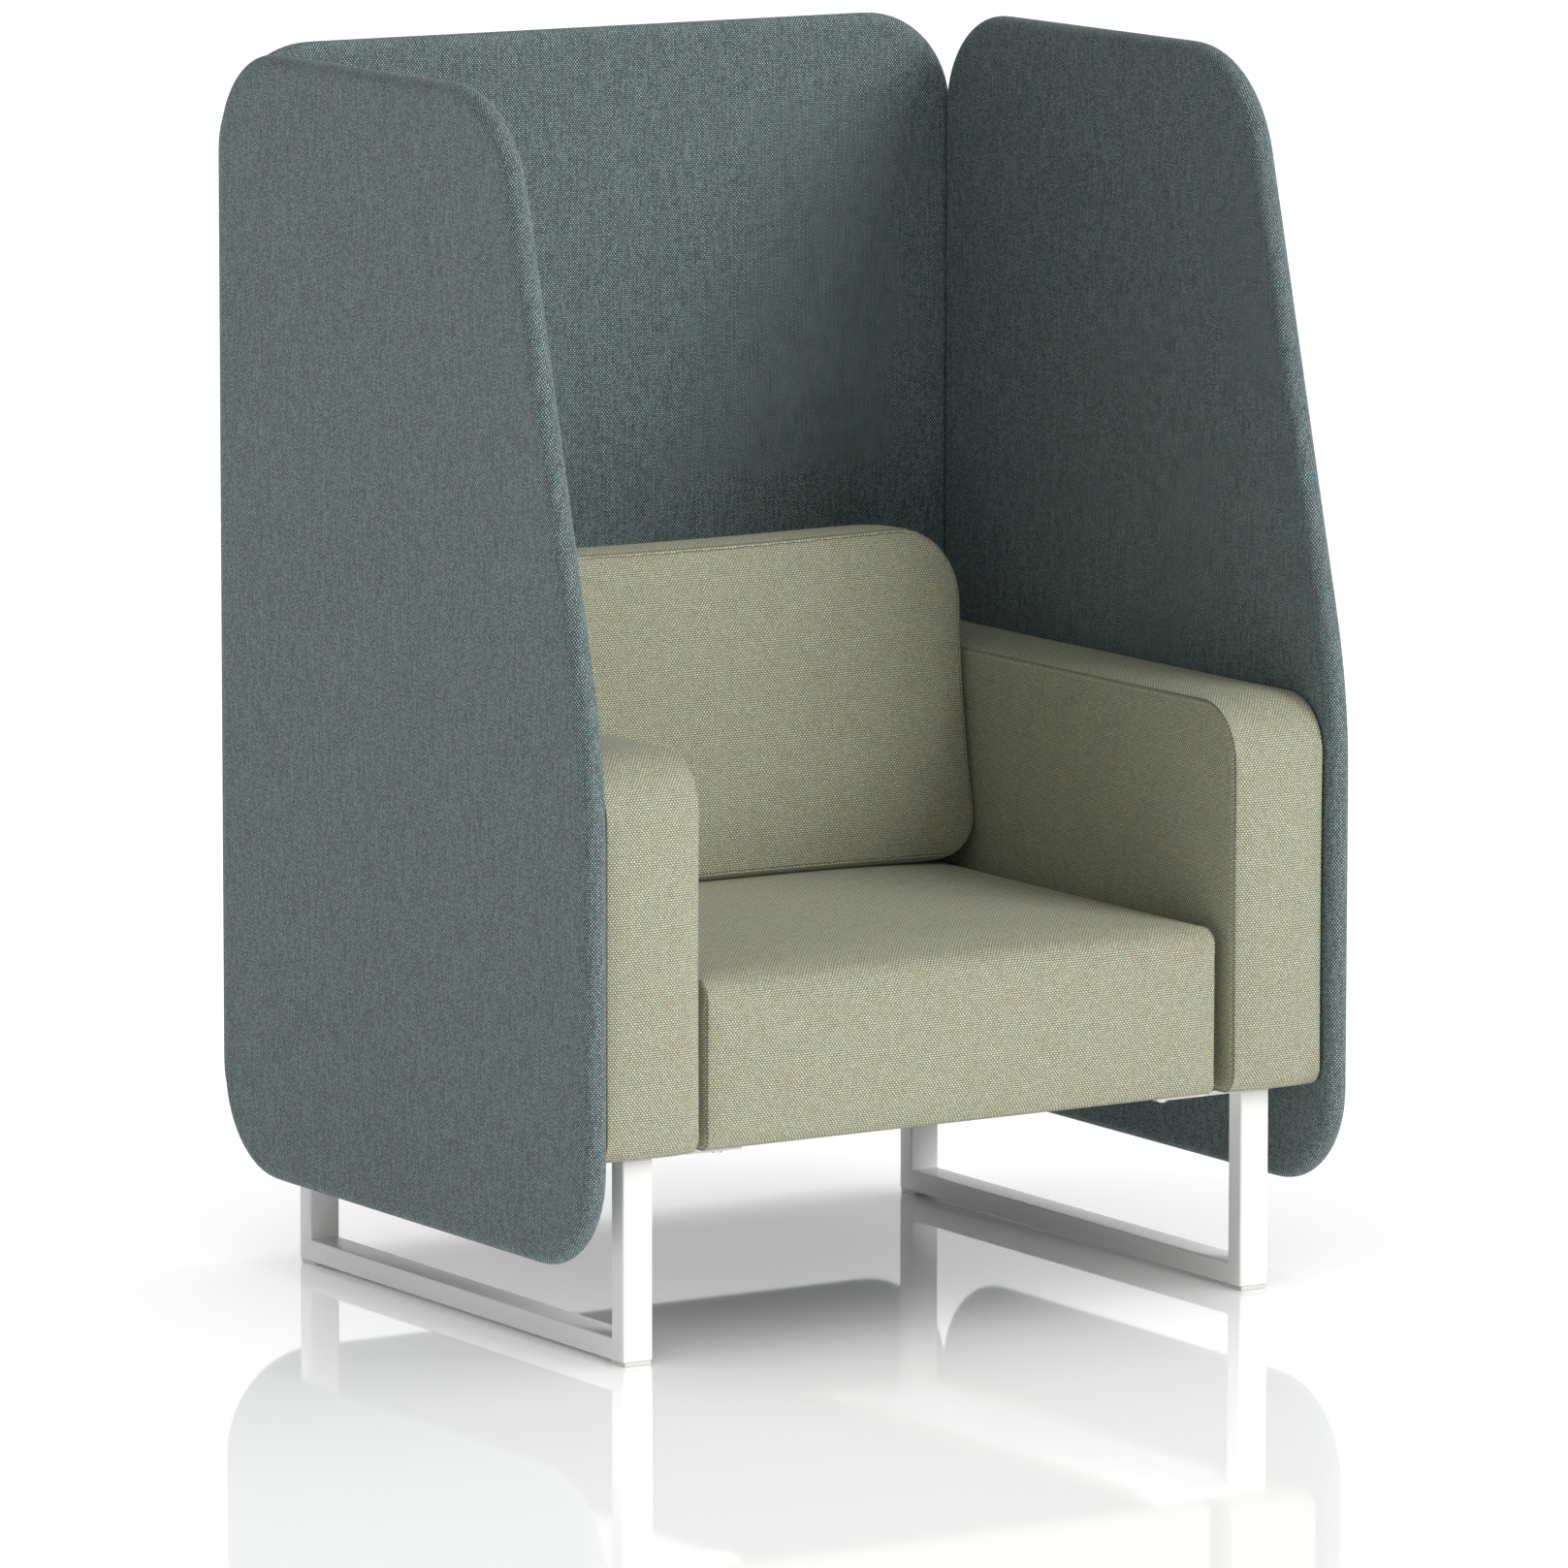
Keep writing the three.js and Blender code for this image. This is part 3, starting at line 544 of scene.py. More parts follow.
def balance(spans, arc_steps, panel_corners):
    """Gives opposite sides the same number of steps, by adding to the shorter one."""
    total = len(spans)
    ends = panel_corners + [total]
    stretches = [list(range(ends[k], ends[k + 1])) for k in range(FOUR_SIDES)]
    for side, other in ((0, 2), (1, 3)):
        counts = []
        for number in (side, other):
            inner = [i for i in stretches[number] if i not in panel_corners]
            halves = arc_steps[ends[number]] // 2 + arc_steps[ends[number + 1] % total] // 2
            counts.append(halves + sum(arc_steps[i] for i in inner)
                          + sum(len(spans[i]) + 1 for i in stretches[number]))
        shorter = side if counts[0] < counts[1] else other
        chosen = stretches[shorter][0]
        spans[chosen] = even(len(spans[chosen]) + 1 + abs(counts[1] - counts[0]))


def outline(corners, grid, pull=0.0):
    """Points and outward directions of a rounded outline, and where its four panel corners are.

    corners are (a, b, corner, is_panel_corner), anticlockwise from a panel corner, and a corner is
    its radius and its number of steps. pull draws the straight sides in.
    """
    total = len(corners)
    places = [np.array((a, b), float) for a, b, _, _ in corners]
    arc_steps = [steps for _, _, (_, steps), _ in corners]
    panel_corners = [i for i, (*_, is_panel_corner) in enumerate(corners) if is_panel_corner]
    arcs = [corner_arc(places[i - 1], places[i], places[(i + 1) % total], *corner)
            for i, (_, _, corner, _) in enumerate(corners)]
    gaps = [arcs[(i + 1) % total][0][0] - arcs[i][0][-1] for i in range(total)]
    spans = [even(max(least_steps, round(np.linalg.norm(gap) / grid))) for gap in gaps]
    balance(spans, arc_steps, panel_corners)
    points, normals, marks = [], [], []
    for i, (arc, outwards) in enumerate(arcs):
        if i in panel_corners:
            marks.append(len(points) + arc_steps[i] // 2)
        points.extend(arc)
        normals.extend(outwards)
        for share in spans[i]:
            points.append(arc[-1] + gaps[i] * share - outwards[-1] * pull * bulge(share))
            normals.append(outwards[-1])
    start = marks[0]
    marks = [mark - start for mark in marks] + [len(points)]
    return np.roll(np.array(points), -start, 0), np.roll(np.array(normals), -start, 0), marks


def rectangle(low_a, high_a, low_b, high_b, corners):
    """An upright rectangle for an outline, with its corners anticlockwise from the low ones."""
    places = ((low_a, low_b), (high_a, low_b), (high_a, high_b), (low_a, high_b))
    return [(*place, corner, True) for place, corner in zip(places, corners)]


# %% [markdown]
# ## From an outline to a form
#
# A station says how deep it lies between the two panels, how far its ring is drawn in, how strongly
# it lies in a seam, and how far the band swells there. The builder writes a UV map in metres, so
# the weave keeps its true scale on every panel. On the screens the cloth runs on from each face
# over half of the edge, as it does on a cover pulled over a board.

# %% Fill a panel


def panel_grid(rim, marks):
    """Fills a closed rim with a grid that keeps its four sides."""
    sides = [rim[np.arange(marks[k], marks[k + 1] + 1) % len(rim)] for k in range(FOUR_SIDES)]
    bottom, right, top, left = sides[0], sides[1], sides[2][::-1], sides[3][::-1]
    across = np.linspace(0, 1, len(bottom))[None, :, None]
    up = np.linspace(0, 1, len(left))[:, None, None]
    edges = (1 - up) * bottom[None] + up * top[None] + (1 - across) * left[:, None] + across * right[:, None]
    return (edges - (1 - up) * ((1 - across) * bottom[0] + across * bottom[-1])
            - up * ((1 - across) * top[0] + across * top[-1]))


def rim_numbers(shape, marks, count, first):
    """Vertex numbers of a panel's grid: those of the rim, and -1 inside."""
    numbers = np.full(shape, -1)
    along = [np.arange(marks[k], marks[k + 1] + 1) % count + first for k in range(FOUR_SIDES)]
    numbers[0] = along[0]
    numbers[:, -1] = along[1]
    numbers[-1] = along[2][::-1]
    numbers[:, 0] = along[3][::-1]
    return numbers


def panel_faces(numbers, grid, side):
    """A panel's faces and where their corners lie on the cloth."""
    faces, uvs = [], []
    rows, columns = numbers.shape
    for row, column in ((row, column) for row in range(rows - 1) for column in range(columns - 1)):
        at = [(row, column), (row, column + 1), (row + 1, column + 1), (row + 1, column)][::side]
        faces.append([int(numbers[place]) for place in at])
        uvs.extend((-side * grid[place][0], grid[place][1]) for place in at)
    return faces, uvs


# %% Lay the cloth along the band


def band_cloth(weave_on, rings, points, normals, stations):
    """Where each corner of the band's faces lies on the cloth, in the order of ring_faces."""
    count, last = len(points), len(stations) - 1
    reach = [0.0]
    for (d0, i0, *_), (d1, i1, *_) in zip(stations, stations[1:]):
        reach.append(reach[-1] + math.hypot(d1 - d0, i1 - i0))
    girth = [0.0, *np.cumsum(np.linalg.norm(np.roll(points, -1, 0) - points, axis=1))]
    uvs = []
    for r, i in ((r, i) for r in range(last) for i in range(count)):
        near = r < last / 2
        for step, s in ((0, r), (1, r), (1, r + 1), (0, r + 1)):
            if weave_on == "wrapped":
                k = (i + step) % count
                a, b = rings[0 if near else -1][k] + normals[k] * (reach[s] if near else reach[-1] - reach[s])
                uvs.append((a if near else -a, b))
            elif weave_on == "across":
                uvs.append((reach[s], girth[i + step]))
            else:
                uvs.append((girth[i + step], reach[s]))
    return uvs


# %% Build a sewn form


def sewn_form(name, shape, stations, to_space, crowns=(None, None), swell_share=None, weave_on="band"):
    """A closed form: a panel, a band and a second panel.

    Stations are (depth, inset, seam, swell) from the first panel to the second, to_space turns
    (a, b, depth) into a place, and crowns are functions of (a, b) that lift a panel outwards. The
    rows of the weave lie along the band, across it, or run on from the panels that are wrapped round.
    """
    points, normals, marks = shape
    count = len(points)
    shares = swell_share(points, normals)[:, None] if swell_share else np.ones((count, 1))
    rings = [points - normals * (inset - swell * shares) for _, inset, _, swell in stations]
    vertices = [(*point, depth) for ring, (depth, *_) in zip(rings, stations) for point in ring]
    seams = [seam for _, _, seam, _ in stations for _ in range(count)]
    faces = ring_faces(len(stations), count)
    uvs = band_cloth(weave_on, rings, points, normals, stations)
    for end, crown in enumerate(crowns):
        side = 1 if end else -1
        grid = panel_grid(rings[-end], marks)
        numbers = rim_numbers(grid.shape[:2], marks, count, end * (len(stations) - 1) * count)
        for row, column in np.argwhere(numbers < 0):
            numbers[row, column] = len(vertices)
            a, b = grid[row, column]
            vertices.append((a, b, stations[-end][0] + side * (crown(a, b) if crown else 0)))
            seams.append(0)
        more_faces, more_uvs = panel_faces(numbers, grid, side)
        faces += more_faces
        uvs += more_uvs
    return new_piece(name, to_space(np.array(vertices)), faces, uvs, seams)


def sideways(start):
    """Turns (a, b, depth) into places: a runs to the back, b up, and depth to the right of a start."""
    return lambda abd: np.column_stack([start + abd[:, 2], abd[:, 0], abd[:, 1]])


# %% [markdown]
# ## Filling
#
# A sewn cover takes its final shape when the padding inside presses it outwards. The cloth
# simulation does that with its pressure: the seams hold and the panels between them swell. The
# swell is held to a cap, so that the piece keeps the size it has in the frame. One level of
# subdivision then rounds the mesh, and later each piece is kept clear of its neighbours.

# %% Swell a form and finish it
fill_frames = 20
fill_pressure = 4.0
still_share = 0.001


def inflate(piece, held, cap):
    """Presses the cover outwards between the held vertices, and caps how far it moves."""
    rest = places_of(piece.data)
    group = piece.vertex_groups.new(name="held")
    group.add([int(number) for number in np.flatnonzero(held)], 1.0, "REPLACE")
    cloth = piece.modifiers.new("fill", "CLOTH")
    cloth.settings.use_pressure = True
    cloth.settings.uniform_pressure_force = fill_pressure
    cloth.settings.effector_weights.gravity = 0
    cloth.settings.vertex_group_mass = group.name
    for number in range(1, fill_frames + 1):
        scene.frame_set(number)
    moved = places_of(evaluated(piece).data) - rest
    length = np.linalg.norm(moved, axis=1, keepdims=True)
    capped = cap * (1 - np.exp(-length / cap))
    piece.modifiers.remove(cloth)
    piece.vertex_groups.remove(group)
    scene.frame_set(1)
    move_to(piece.data, rest + moved * capped / np.maximum(length, cap * still_share))
    print(piece.name, "swells by up to", round(float(capped.max()) / mm, 1), "mm")


def refine(piece):
    """Applies one level of subdivision to the mesh."""
    piece.modifiers.new("round", "SUBSURF").levels = 1
    mesh = bpy.data.meshes.new_from_object(evaluated(piece))
    piece.modifiers.clear()
    piece.data = mesh


def upholster(piece, cloth, slot, fill, *nodes):
    """The calls that every upholstered piece ends with."""
    dress(piece, cloth, slot, *nodes)
    print(piece.name, len(piece.data.polygons), "faces")


# %% [markdown]
# ## Screens
#
# Each screen is a thin board in a padded cover of blue-grey weave with a full round edge. The front
# edge of a side screen slants down to the arm and then turns upright. The edge is a half circle of
# stations, so it stays truly round where it catches the light.

# %% Build the screens
screen_corner = (115 * mm, 12)
screen_front_corner = (149 * mm, 12)
screen_bend = (700 * mm, 9)
screen_slant = 188 * mm
screen_grid = 20 * mm
screen_edge_steps = 8
screen_fill = 1.0
arm_crown = 3 * mm
arm_low, arm_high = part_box("right_arm_cover")
arm_top = arm_high.z - arm_crown


def build_screen(name, corners, thickness, to_space):
    """A wrapped form whose stations follow a half circle from one face to the other."""
    radius = thickness / 2
    turns = [math.pi * (step / screen_edge_steps - 1 / 2) for step in range(screen_edge_steps + 1)]
    stations = [(radius * math.sin(turn), radius * (1 - math.cos(turn)), 0, 0) for turn in turns]
    piece = sewn_form(name, outline(corners, screen_grid), stations, to_space, weave_on="wrapped")
    refine(piece)
    upholster(piece, screen_fabric, "screen_fabric", screen_fill, name + "_cover")


def build_side_screen(name):
    low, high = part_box(name + "_cover")
    corners = [
        (low.y, low.z, screen_corner, True),
        (high.y, low.z, screen_corner, True),
        (high.y, high.z, screen_corner, True),
        (low.y + screen_slant, high.z, screen_front_corner, True),
        (low.y, arm_top, screen_bend, False),
    ]
    build_screen(name, corners, high.x - low.x, sideways((low.x + high.x) / 2))


def build_back_screen(name):
    low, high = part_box(name + "_cover")
    middle = (low.y + high.y) / 2

    def to_space(abd):
        return np.column_stack([abd[:, 0], middle - abd[:, 2], abd[:, 1]])

    corners = rectangle(low.x, high.x, low.z, high.z, [screen_corner] * FOUR_SIDES)
    build_screen(name, corners, high.y - low.y, to_space)


build_side_screen("right_screen")
build_side_screen("left_screen")
build_back_screen("back_screen")

# %% [markdown]
# ## Seams and crowns
#
# At a plain seam the two pieces of cloth turn down into each other, so a fine groove runs between
# two small rolls. The profile below is given as shares of the roll's size, first its depth from the
# panel and then its distance from the band, so one size sets every seam on the chair. The third
# share says how deep in the seam the cloth lies. A crown is full in the middle of a panel and falls
# off only near its edges.

# %% Define the seam profile
seam_roll = 4 * mm
seam_path_shares = ((0, 1, 0), (0.07, 0.6, 0), (0.27, 0.41, 0.45), (0.56, 0.56, 1),
                    (0.41, 0.27, 0.45), (0.6, 0.07, 0), (1, 0, 0))
crown_sharpness = 3.5
sag_sharpness = 2


def seam_at(depth, towards):
    """Stations over a seam at a panel's depth. towards is 1 where the band follows the panel."""
    path = [(depth + towards * share * seam_roll, inset_share * seam_roll, seam_share, 0)
            for share, inset_share, seam_share in seam_path_shares]
    return path if towards > 0 else path[::-1]


def seamed_band(width, grid, swell=0.0):
    """Stations from one panel's seam over a band, which may swell in the middle, to the other seam."""
    length = width - 2 * seam_roll
    shares = even(round(length / grid))
    band = [(seam_roll + length * share, 0, 0, swell * bulge(share)) for share in shares]
    return [*seam_at(0, 1), *band, *seam_at(width, -1)]


def full_between(values, low, high, sharpness=crown_sharpness):
    """1 in the middle between two bounds, falling softly to 0 at both."""
    away = np.clip(np.abs(2 * (values - low) / (high - low) - 1), 0, 1)
    return 1 - away ** sharpness


# %% [markdown]
# ## Arms
#
# An arm is a box of two boards and rails under a padded cover. Its side panels are flat. One long
# band runs up the front, over a rounded corner and along the top, a little crowned, and a seam
# joins them all round. The back unit is sewn the same way, and the seat is sewn and filled the same
# way, so the first two functions serve them too. The left arm is the right one mirrored, so its
# faces are turned back to point outwards.

# %% Build the arms
arm_front_corner = (64 * mm, 10)
arm_bottom_corner = (22 * mm, 6)
arm_rear_corner = (10 * mm, 4)
arm_grid = 11 * mm
arm_swell_cap = 3 * mm
arm_fill = 0.9
hem = 0.2 * mm
clear = 0.3 * mm
held_share = 0.5


def seamed_block(name, corners, low, high, grid, swell=0.0, swell_share=None):
    """A flat panel on each side and one band round them, with the weave lying across the band."""
    return sewn_form(name, outline(corners, grid), seamed_band(high.x - low.x, grid, swell), sideways(low.x),
                     swell_share=swell_share, weave_on="across")


def fill_block(piece, low, high, cap, room):
    """Fills a block. It stays flat below and behind, and grows by the room on each side at most."""
    bottom = low.z - hem
    places = places_of(piece.data)
    held = (seams_of(piece) > held_share) | (places[:, 2] < bottom + clear) | (places[:, 1] > high.y - clear)
    inflate(piece, held, cap)
    refine(piece)
    places = places_of(piece.data)
    places[:, 0] = np.clip(places[:, 0], low.x - room, high.x + room)
    places[:, 1] = np.minimum(places[:, 1], high.y)
    places[:, 2] = np.maximum(places[:, 2], bottom)
    move_to(piece.data, places)
    return piece


def build_right_arm():
    corners = rectangle(arm_low.y + arm_crown, arm_high.y, arm_low.z - hem, arm_top,
                        (arm_bottom_corner, arm_rear_corner, arm_rear_corner, arm_front_corner))

    def front_and_top(points, normals):
        return np.clip(np.maximum(-normals[:, 0], normals[:, 1]), 0, 1)

    piece = seamed_block("right_arm", corners, arm_low, arm_high, arm_grid, arm_crown, front_and_top)
    return fill_block(piece, arm_low, arm_high, arm_swell_cap, clear)


def mirrored(piece, name):
    """A copy of a piece on the other side, with its faces turned to point outwards."""
    mesh = piece.data.copy()
    mesh.transform(Matrix.Scale(-1, 4, (1, 0, 0)))
    mesh.flip_normals()
    return new_object(name, mesh)


right_arm = build_right_arm()
left_arm = mirrored(right_arm, "left_arm")
upholster(right_arm, seat_fabric, "seat_fabric", arm_fill, "right_arm_cover")
upholster(left_arm, seat_fabric, "seat_fabric", arm_fill, "left_arm_cover")

# %% [markdown]
# ## Seat
#
# The seat is a deep block of foam over a timber ring and a deck, in a cover made like an arm's: a
# flat panel on each side, and one long band that runs up the front, over the top and down the rear.
# The foam lifts the top into a crown and pushes the front out. It starts a little too small, and
# the filling presses it out to its size.

# %% Build the seat
seat_crown = 15 * mm
seat_front_swell = 8 * mm
seat_edge = 20 * mm
seat_top_corner = (seat_edge, 6)
seat_bottom_corner = (12 * mm, 4)
seat_rear_corner = (8 * mm, 2)
seat_grid = 11 * mm
seat_swell_cap = 3 * mm
seat_fill = 0.85
seat_low, seat_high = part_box("seat_cover")
seat_front = seat_low.y + seat_front_swell
seat_seam_z = seat_high.z - seat_crown


def crown_seat(piece, bottom):
    """Lifts the top into a crown and pushes the front out, most in the middle."""
    places = places_of(piece.data)
    across = full_between(places[:, 0], seat_low.x, seat_high.x)
    back = full_between(places[:, 1], seat_front, seat_high.y)
    up = full_between(places[:, 2], bottom, seat_seam_z, sag_sharpness)
    on_top = np.clip((places[:, 2] - seat_seam_z) / seat_edge + 1, 0, 1)
    at_front = np.clip((seat_front - places[:, 1]) / seat_edge + 1, 0, 1)
    places[:, 2] += (seat_crown - seat_swell_cap) * across * back * on_top
    places[:, 1] -= (seat_front_swell - seat_swell_cap) * across * up * at_front
    move_to(piece.data, places)


def build_seat():
    bottom = seat_low.z - hem
    corners = rectangle(seat_front, seat_high.y, bottom, seat_seam_z,
                        (seat_bottom_corner, seat_rear_corner, seat_rear_corner, seat_top_corner))
    piece = seamed_block("seat", corners, seat_low, seat_high, seat_grid)
    crown_seat(piece, bottom)
    return fill_block(piece, seat_low, seat_high, seat_swell_cap, seat_swell_cap)


seat = build_seat()
upholster(seat, seat_fabric, "seat_fabric", seat_fill, "seat_cover", "seat_foam")

# %% [markdown]
# ## Back unit
#
# Between the arms and behind the cushion stands an upholstered unit whose front face leans back.
# Only its top and the edge of its face can be seen, so it is a plain sewn form whose band runs
# over the top.

# %% Build the back unit
lean = math.radians(7.3)
back_edge = (12 * mm, 4)
back_bend = (60 * mm, 4)
back_grid = 16 * mm
back_fill = 0.9
back_low, back_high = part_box("back_unit_cover")


def lean_at(height):
    """Where the back unit's front face is at a height."""
    return back_low.y + (height - seat_seam_z) * math.tan(lean)


def build_back_unit():
    bottom = back_low.z - hem
    corners = [
        (back_low.y, bottom, back_edge, True),
        (back_high.y, bottom, back_edge, True),
        (back_high.y, back_high.z, back_edge, True),
        (lean_at(back_high.z), back_high.z, back_edge, True),
        (back_low.y, seat_seam_z, back_bend, False),
    ]
    piece = seamed_block("back_unit", corners, back_low, back_high, back_grid)
    refine(piece)
    return piece


upholster(build_back_unit(), seat_fabric, "seat_fabric", back_fill, "back_unit_cover")

# %% [markdown]
# ## Back cushion
#
# The loose cushion is boxed: a front and a rear panel joined by a border, with a seam round each.
# It is the softest piece, so it is crowned most, its sides are drawn in between the corners, and it
# is flat only where it rests on the seat and leans on the back unit.

# %% Build the back cushion
cushion_side_gap = 4 * mm
cushion_height = 384 * mm
cushion_border = 108 * mm
cushion_top_corner = (85 * mm, 12)
cushion_bottom_radius = 50 * mm
cushion_bottom_corner = (cushion_bottom_radius, 8)
cushion_crown = 18 * mm
cushion_rear_crown = 8 * mm
cushion_swell = 3 * mm
cushion_pull = 3 * mm
cushion_foot_rise = 13.5 * mm
cushion_grid = 10 * mm
cushion_swell_cap = 4 * mm
cushion_fill = 0.7
cushion_half = arm_low.x - cushion_side_gap
cushion_foot = seat_seam_z + cushion_foot_rise
cushion_front = lean_at(cushion_foot) - (cushion_border + cushion_rear_crown + clear) / math.cos(lean)
down = Vector((0, 0, -1))


def rest_on(places, below):
    """Lifts every point that would sink into the piece below it to just above it."""
    tree = BVHTree.FromObject(below, bpy.context.evaluated_depsgraph_get())
    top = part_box("back_cushion_cover")[1].z
    near = places[:, 2] < seat_high.z + cushion_bottom_radius
    for number in np.flatnonzero(near):
        hit = tree.ray_cast(Vector((places[number, 0], places[number, 1], top)), down)[0]
        if hit:
            places[number, 2] = max(places[number, 2], hit.z + clear)


def leaning(abd):
    """Turns (a, b, depth) into places: b runs up the lean and depth to the front."""
    depth = cushion_border - abd[:, 2]
    return np.column_stack([
        abd[:, 0],
        cushion_front + depth * math.cos(lean) + abd[:, 1] * math.sin(lean),
        cushion_foot - depth * math.sin(lean) + abd[:, 1] * math.cos(lean),
    ])


def cushion_crown_of(height):
    """A crown of the cushion that the filling will raise to a height."""
    return lambda a, b: ((height - cushion_swell_cap) * full_between(a, -cushion_half, cushion_half)
                         * full_between(b, 0, cushion_height))


def build_cushion():
    corners = [cushion_bottom_corner] * 2 + [cushion_top_corner] * 2
    panel = rectangle(-cushion_half, cushion_half, 0, cushion_height, corners)
    shape = outline(panel, cushion_grid, pull=cushion_pull)
    stations = seamed_band(cushion_border, cushion_grid, cushion_swell)
    crowns = [cushion_crown_of(height) for height in (cushion_rear_crown, cushion_crown)]
    piece = sewn_form("back_cushion", shape, stations, leaning, crowns)
    inflate(piece, seams_of(piece) > held_share, cushion_swell_cap)
    refine(piece)
    places = places_of(piece.data)
    side = arm_low.x - 2 * clear
    places[:, 0] = np.clip(places[:, 0], -side, side)
    rest_on(places, seat)
    nearest = np.minimum(places[:, 1], lean_at(places[:, 2]) - clear)
    places[:, 1] = np.where(places[:, 2] < back_high.z, nearest, places[:, 1])
    move_to(piece.data, places)
    return piece


cushion = build_cushion()
upholster(cushion, seat_fabric, "seat_fabric", cushion_fill, "back_cushion_cover", "back_cushion_foam")

# %% [markdown]
# ## Steel
#
# Each leg loop is one length of rectangular steel tube, cut and welded at mitres, ground smooth and
# powder coated white. A plate on top carries the seat and the arm. Powder coat is not quite flat:
# it has a fine orange peel and a soft gloss.

# %% Make the powder coat
peel_scale = 900.0
peel_relief = 0.02 * mm
coat_cloud_scale = 6.0
coat_dark, coat_light = color(0.83, 0.83, 0.82), color(0.88, 0.88, 0.87)
coat_roughness = 0.32


def even_finish(name, fine_scale, detail, relief, cloud_scale, dark, light, roughness):
    """A finish with fine bumps and a faint cloud of a darker and a lighter shade."""
    material, tree, shader = new_material(name)
    place = object_place(tree)
    bumps = noise(tree, place, fine_scale, detail)[0]
    shade = blend(tree, noise(tree, place, cloud_scale, CLOUDY)[0], dark, light)
    finish_with(tree, shader, shade, bumps, relief, roughness)
    return material


white_steel = even_finish("white_powder_coat", peel_scale, SOFT, peel_relief, coat_cloud_scale,
                          coat_dark, coat_light, coat_roughness)
print("steel finish:", white_steel.name)

# %% Build the leg loops
tube_radius = 2.5 * mm
tube_corner = (tube_radius, 4)
weld_edge = tube_radius / 2
bevel_steps = 2


def bevel(piece, width):
    cut = piece.modifiers.new("edge", "BEVEL")
    cut.width = width
    cut.segments = bevel_steps
    cut.limit_method = "ANGLE"
    cut.harden_normals = True


def build_leg_loop(side):
    """Runs the tube's rounded section down the front post, along the floor and up the rear post."""
    names = [side + part for part in ("_floor_rail", "_front_post", "_rear_post")]
    low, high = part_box(names[0])
    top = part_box(names[1])[1].z
    thickness = high.z - low.z
    corners = rectangle(low.x, high.x, 0, thickness, [tube_corner] * FOUR_SIDES)
    section = outline(corners, thickness)[0]
    across, inwards = section[:, 0], section[:, 1]
    level = np.full(len(section), top)
    rings = [(low.y + inwards, level), (low.y + inwards, low.z + inwards),
             (high.y - inwards, low.z + inwards), (high.y - inwards, level)]
    places = np.concatenate([np.column_stack([across, *ring]) for ring in rings])
    loop = closed_tube(side + "_leg_loop", places, len(section))
    bevel(loop, weld_edge)
    dress(loop, white_steel, "white_steel", *names)


for side in ("right", "left"):
    build_leg_loop(side)

# %% [markdown]
# ## Plates and glides
#
# A flat plate on each loop carries the seat and the arm, and a light plastic pad under each post
# keeps the steel off the floor. Their shapes in the frame are right, with the holes of the bolts.
# They only lack the small rounding that laser-cut and moulded edges have. So a copy of each is
# merged, because the frame's triangles are loose, and gets a fine bevel.

# %% Build the plates and the glides
plate_edge = 0.6 * mm
glide_edge = 1 * mm
mould_scale = 2500.0
mould_detail = 2.0
mould_relief = 0.03 * mm
plastic_cloud_scale = 60.0
plastic_dark, plastic_light = color(0.62, 0.62, 0.6), color(0.76, 0.76, 0.74)
plastic_roughness = 0.55


def softened_copy(node, name, edge, material, slot):
    """A merged copy of a node whose edges are rounded a little."""
    piece = new_object(name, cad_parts[node].data.copy())
    mend(piece, merge_flat=True)
    smooth(piece.data)
    bevel(piece, edge)
    dress(piece, material, slot, node)


glide_plastic = even_finish("pale_moulded_plastic", mould_scale, mould_detail, mould_relief,
                            plastic_cloud_scale, plastic_dark, plastic_light, plastic_roughness)
for side in ("right", "left"):
    softened_copy(side + "_mounting_plate", side + "_seat_plate", plate_edge, white_steel, "white_steel")
    for end in ("_front", "_rear"):
        softened_copy(side + end + "_glide", side + end + "_pad", glide_edge, glide_plastic, "glide_plastic")

# %% [markdown]
# ## Timber and bolts
#
# The boards, rails and cores inside the covers and the bolts that hold them stay as the frame has
# them, and only get their finish. One grain group serves both woods. Plywood shows its face veneer
# on its broad sides and its layers on its edges, so the material looks at which way a face points.
# The boards lie three ways, so there is one plywood for each direction of their thickness.

# %% Build the grain group
grain_detail = 5.0
grain_distortion = 0.8
pore_scale = 9.0
ring_bounds = (0.35, 0.65)
pore_bounds = (0.6, 0.7)
pore_dark_share = 0.35


def build_grain():
    inputs = {"Pale": "Color", "Dark": "Color", "Stretch": "Vector"}
    group, given, put = new_group("wood_grain", inputs, {"Color": "Color", "Height": "Float"})
    spot = add_node(group, "ShaderNodeVectorMath", {0: object_place(group), 1: given["Stretch"]},
                    operation="MULTIPLY").outputs[0]
    rings = noise(group, spot, 1.0, grain_detail, distortion=grain_distortion)[0]
    pores = noise(group, spot, pore_scale)[0]
    ring = remap(group, rings, *ring_bounds)
    pore = remap(group, pores, *pore_bounds, to_high=pore_dark_share)
    ringed = blend(group, ring, given["Pale"], given["Dark"])
    group.links.new(blend(group, pore, ringed, given["Dark"]), put["Color"])
    group.links.new(sums(group, "SUBTRACT", ring, pore), put["Height"])
    return group


wood_grain = build_grain()
print("grain group:", len(wood_grain.nodes), "nodes")

# %% Make the woods
AXES = "xyz"
grain_across = 90.0
grain_along = 7.0
wood_relief = 0.06 * mm
wood_roughness = 0.6
ply_thickness = 1.4 * mm
ply_pale, ply_dark = color(0.66, 0.47, 0.25), color(0.46, 0.29, 0.13)
pine_pale, pine_dark = color(0.76, 0.58, 0.32), color(0.6, 0.4, 0.18)
# The axis of the veneer's grain on a board whose thickness lies along x, y or z.
veneer_axes = (1, 0, 1)


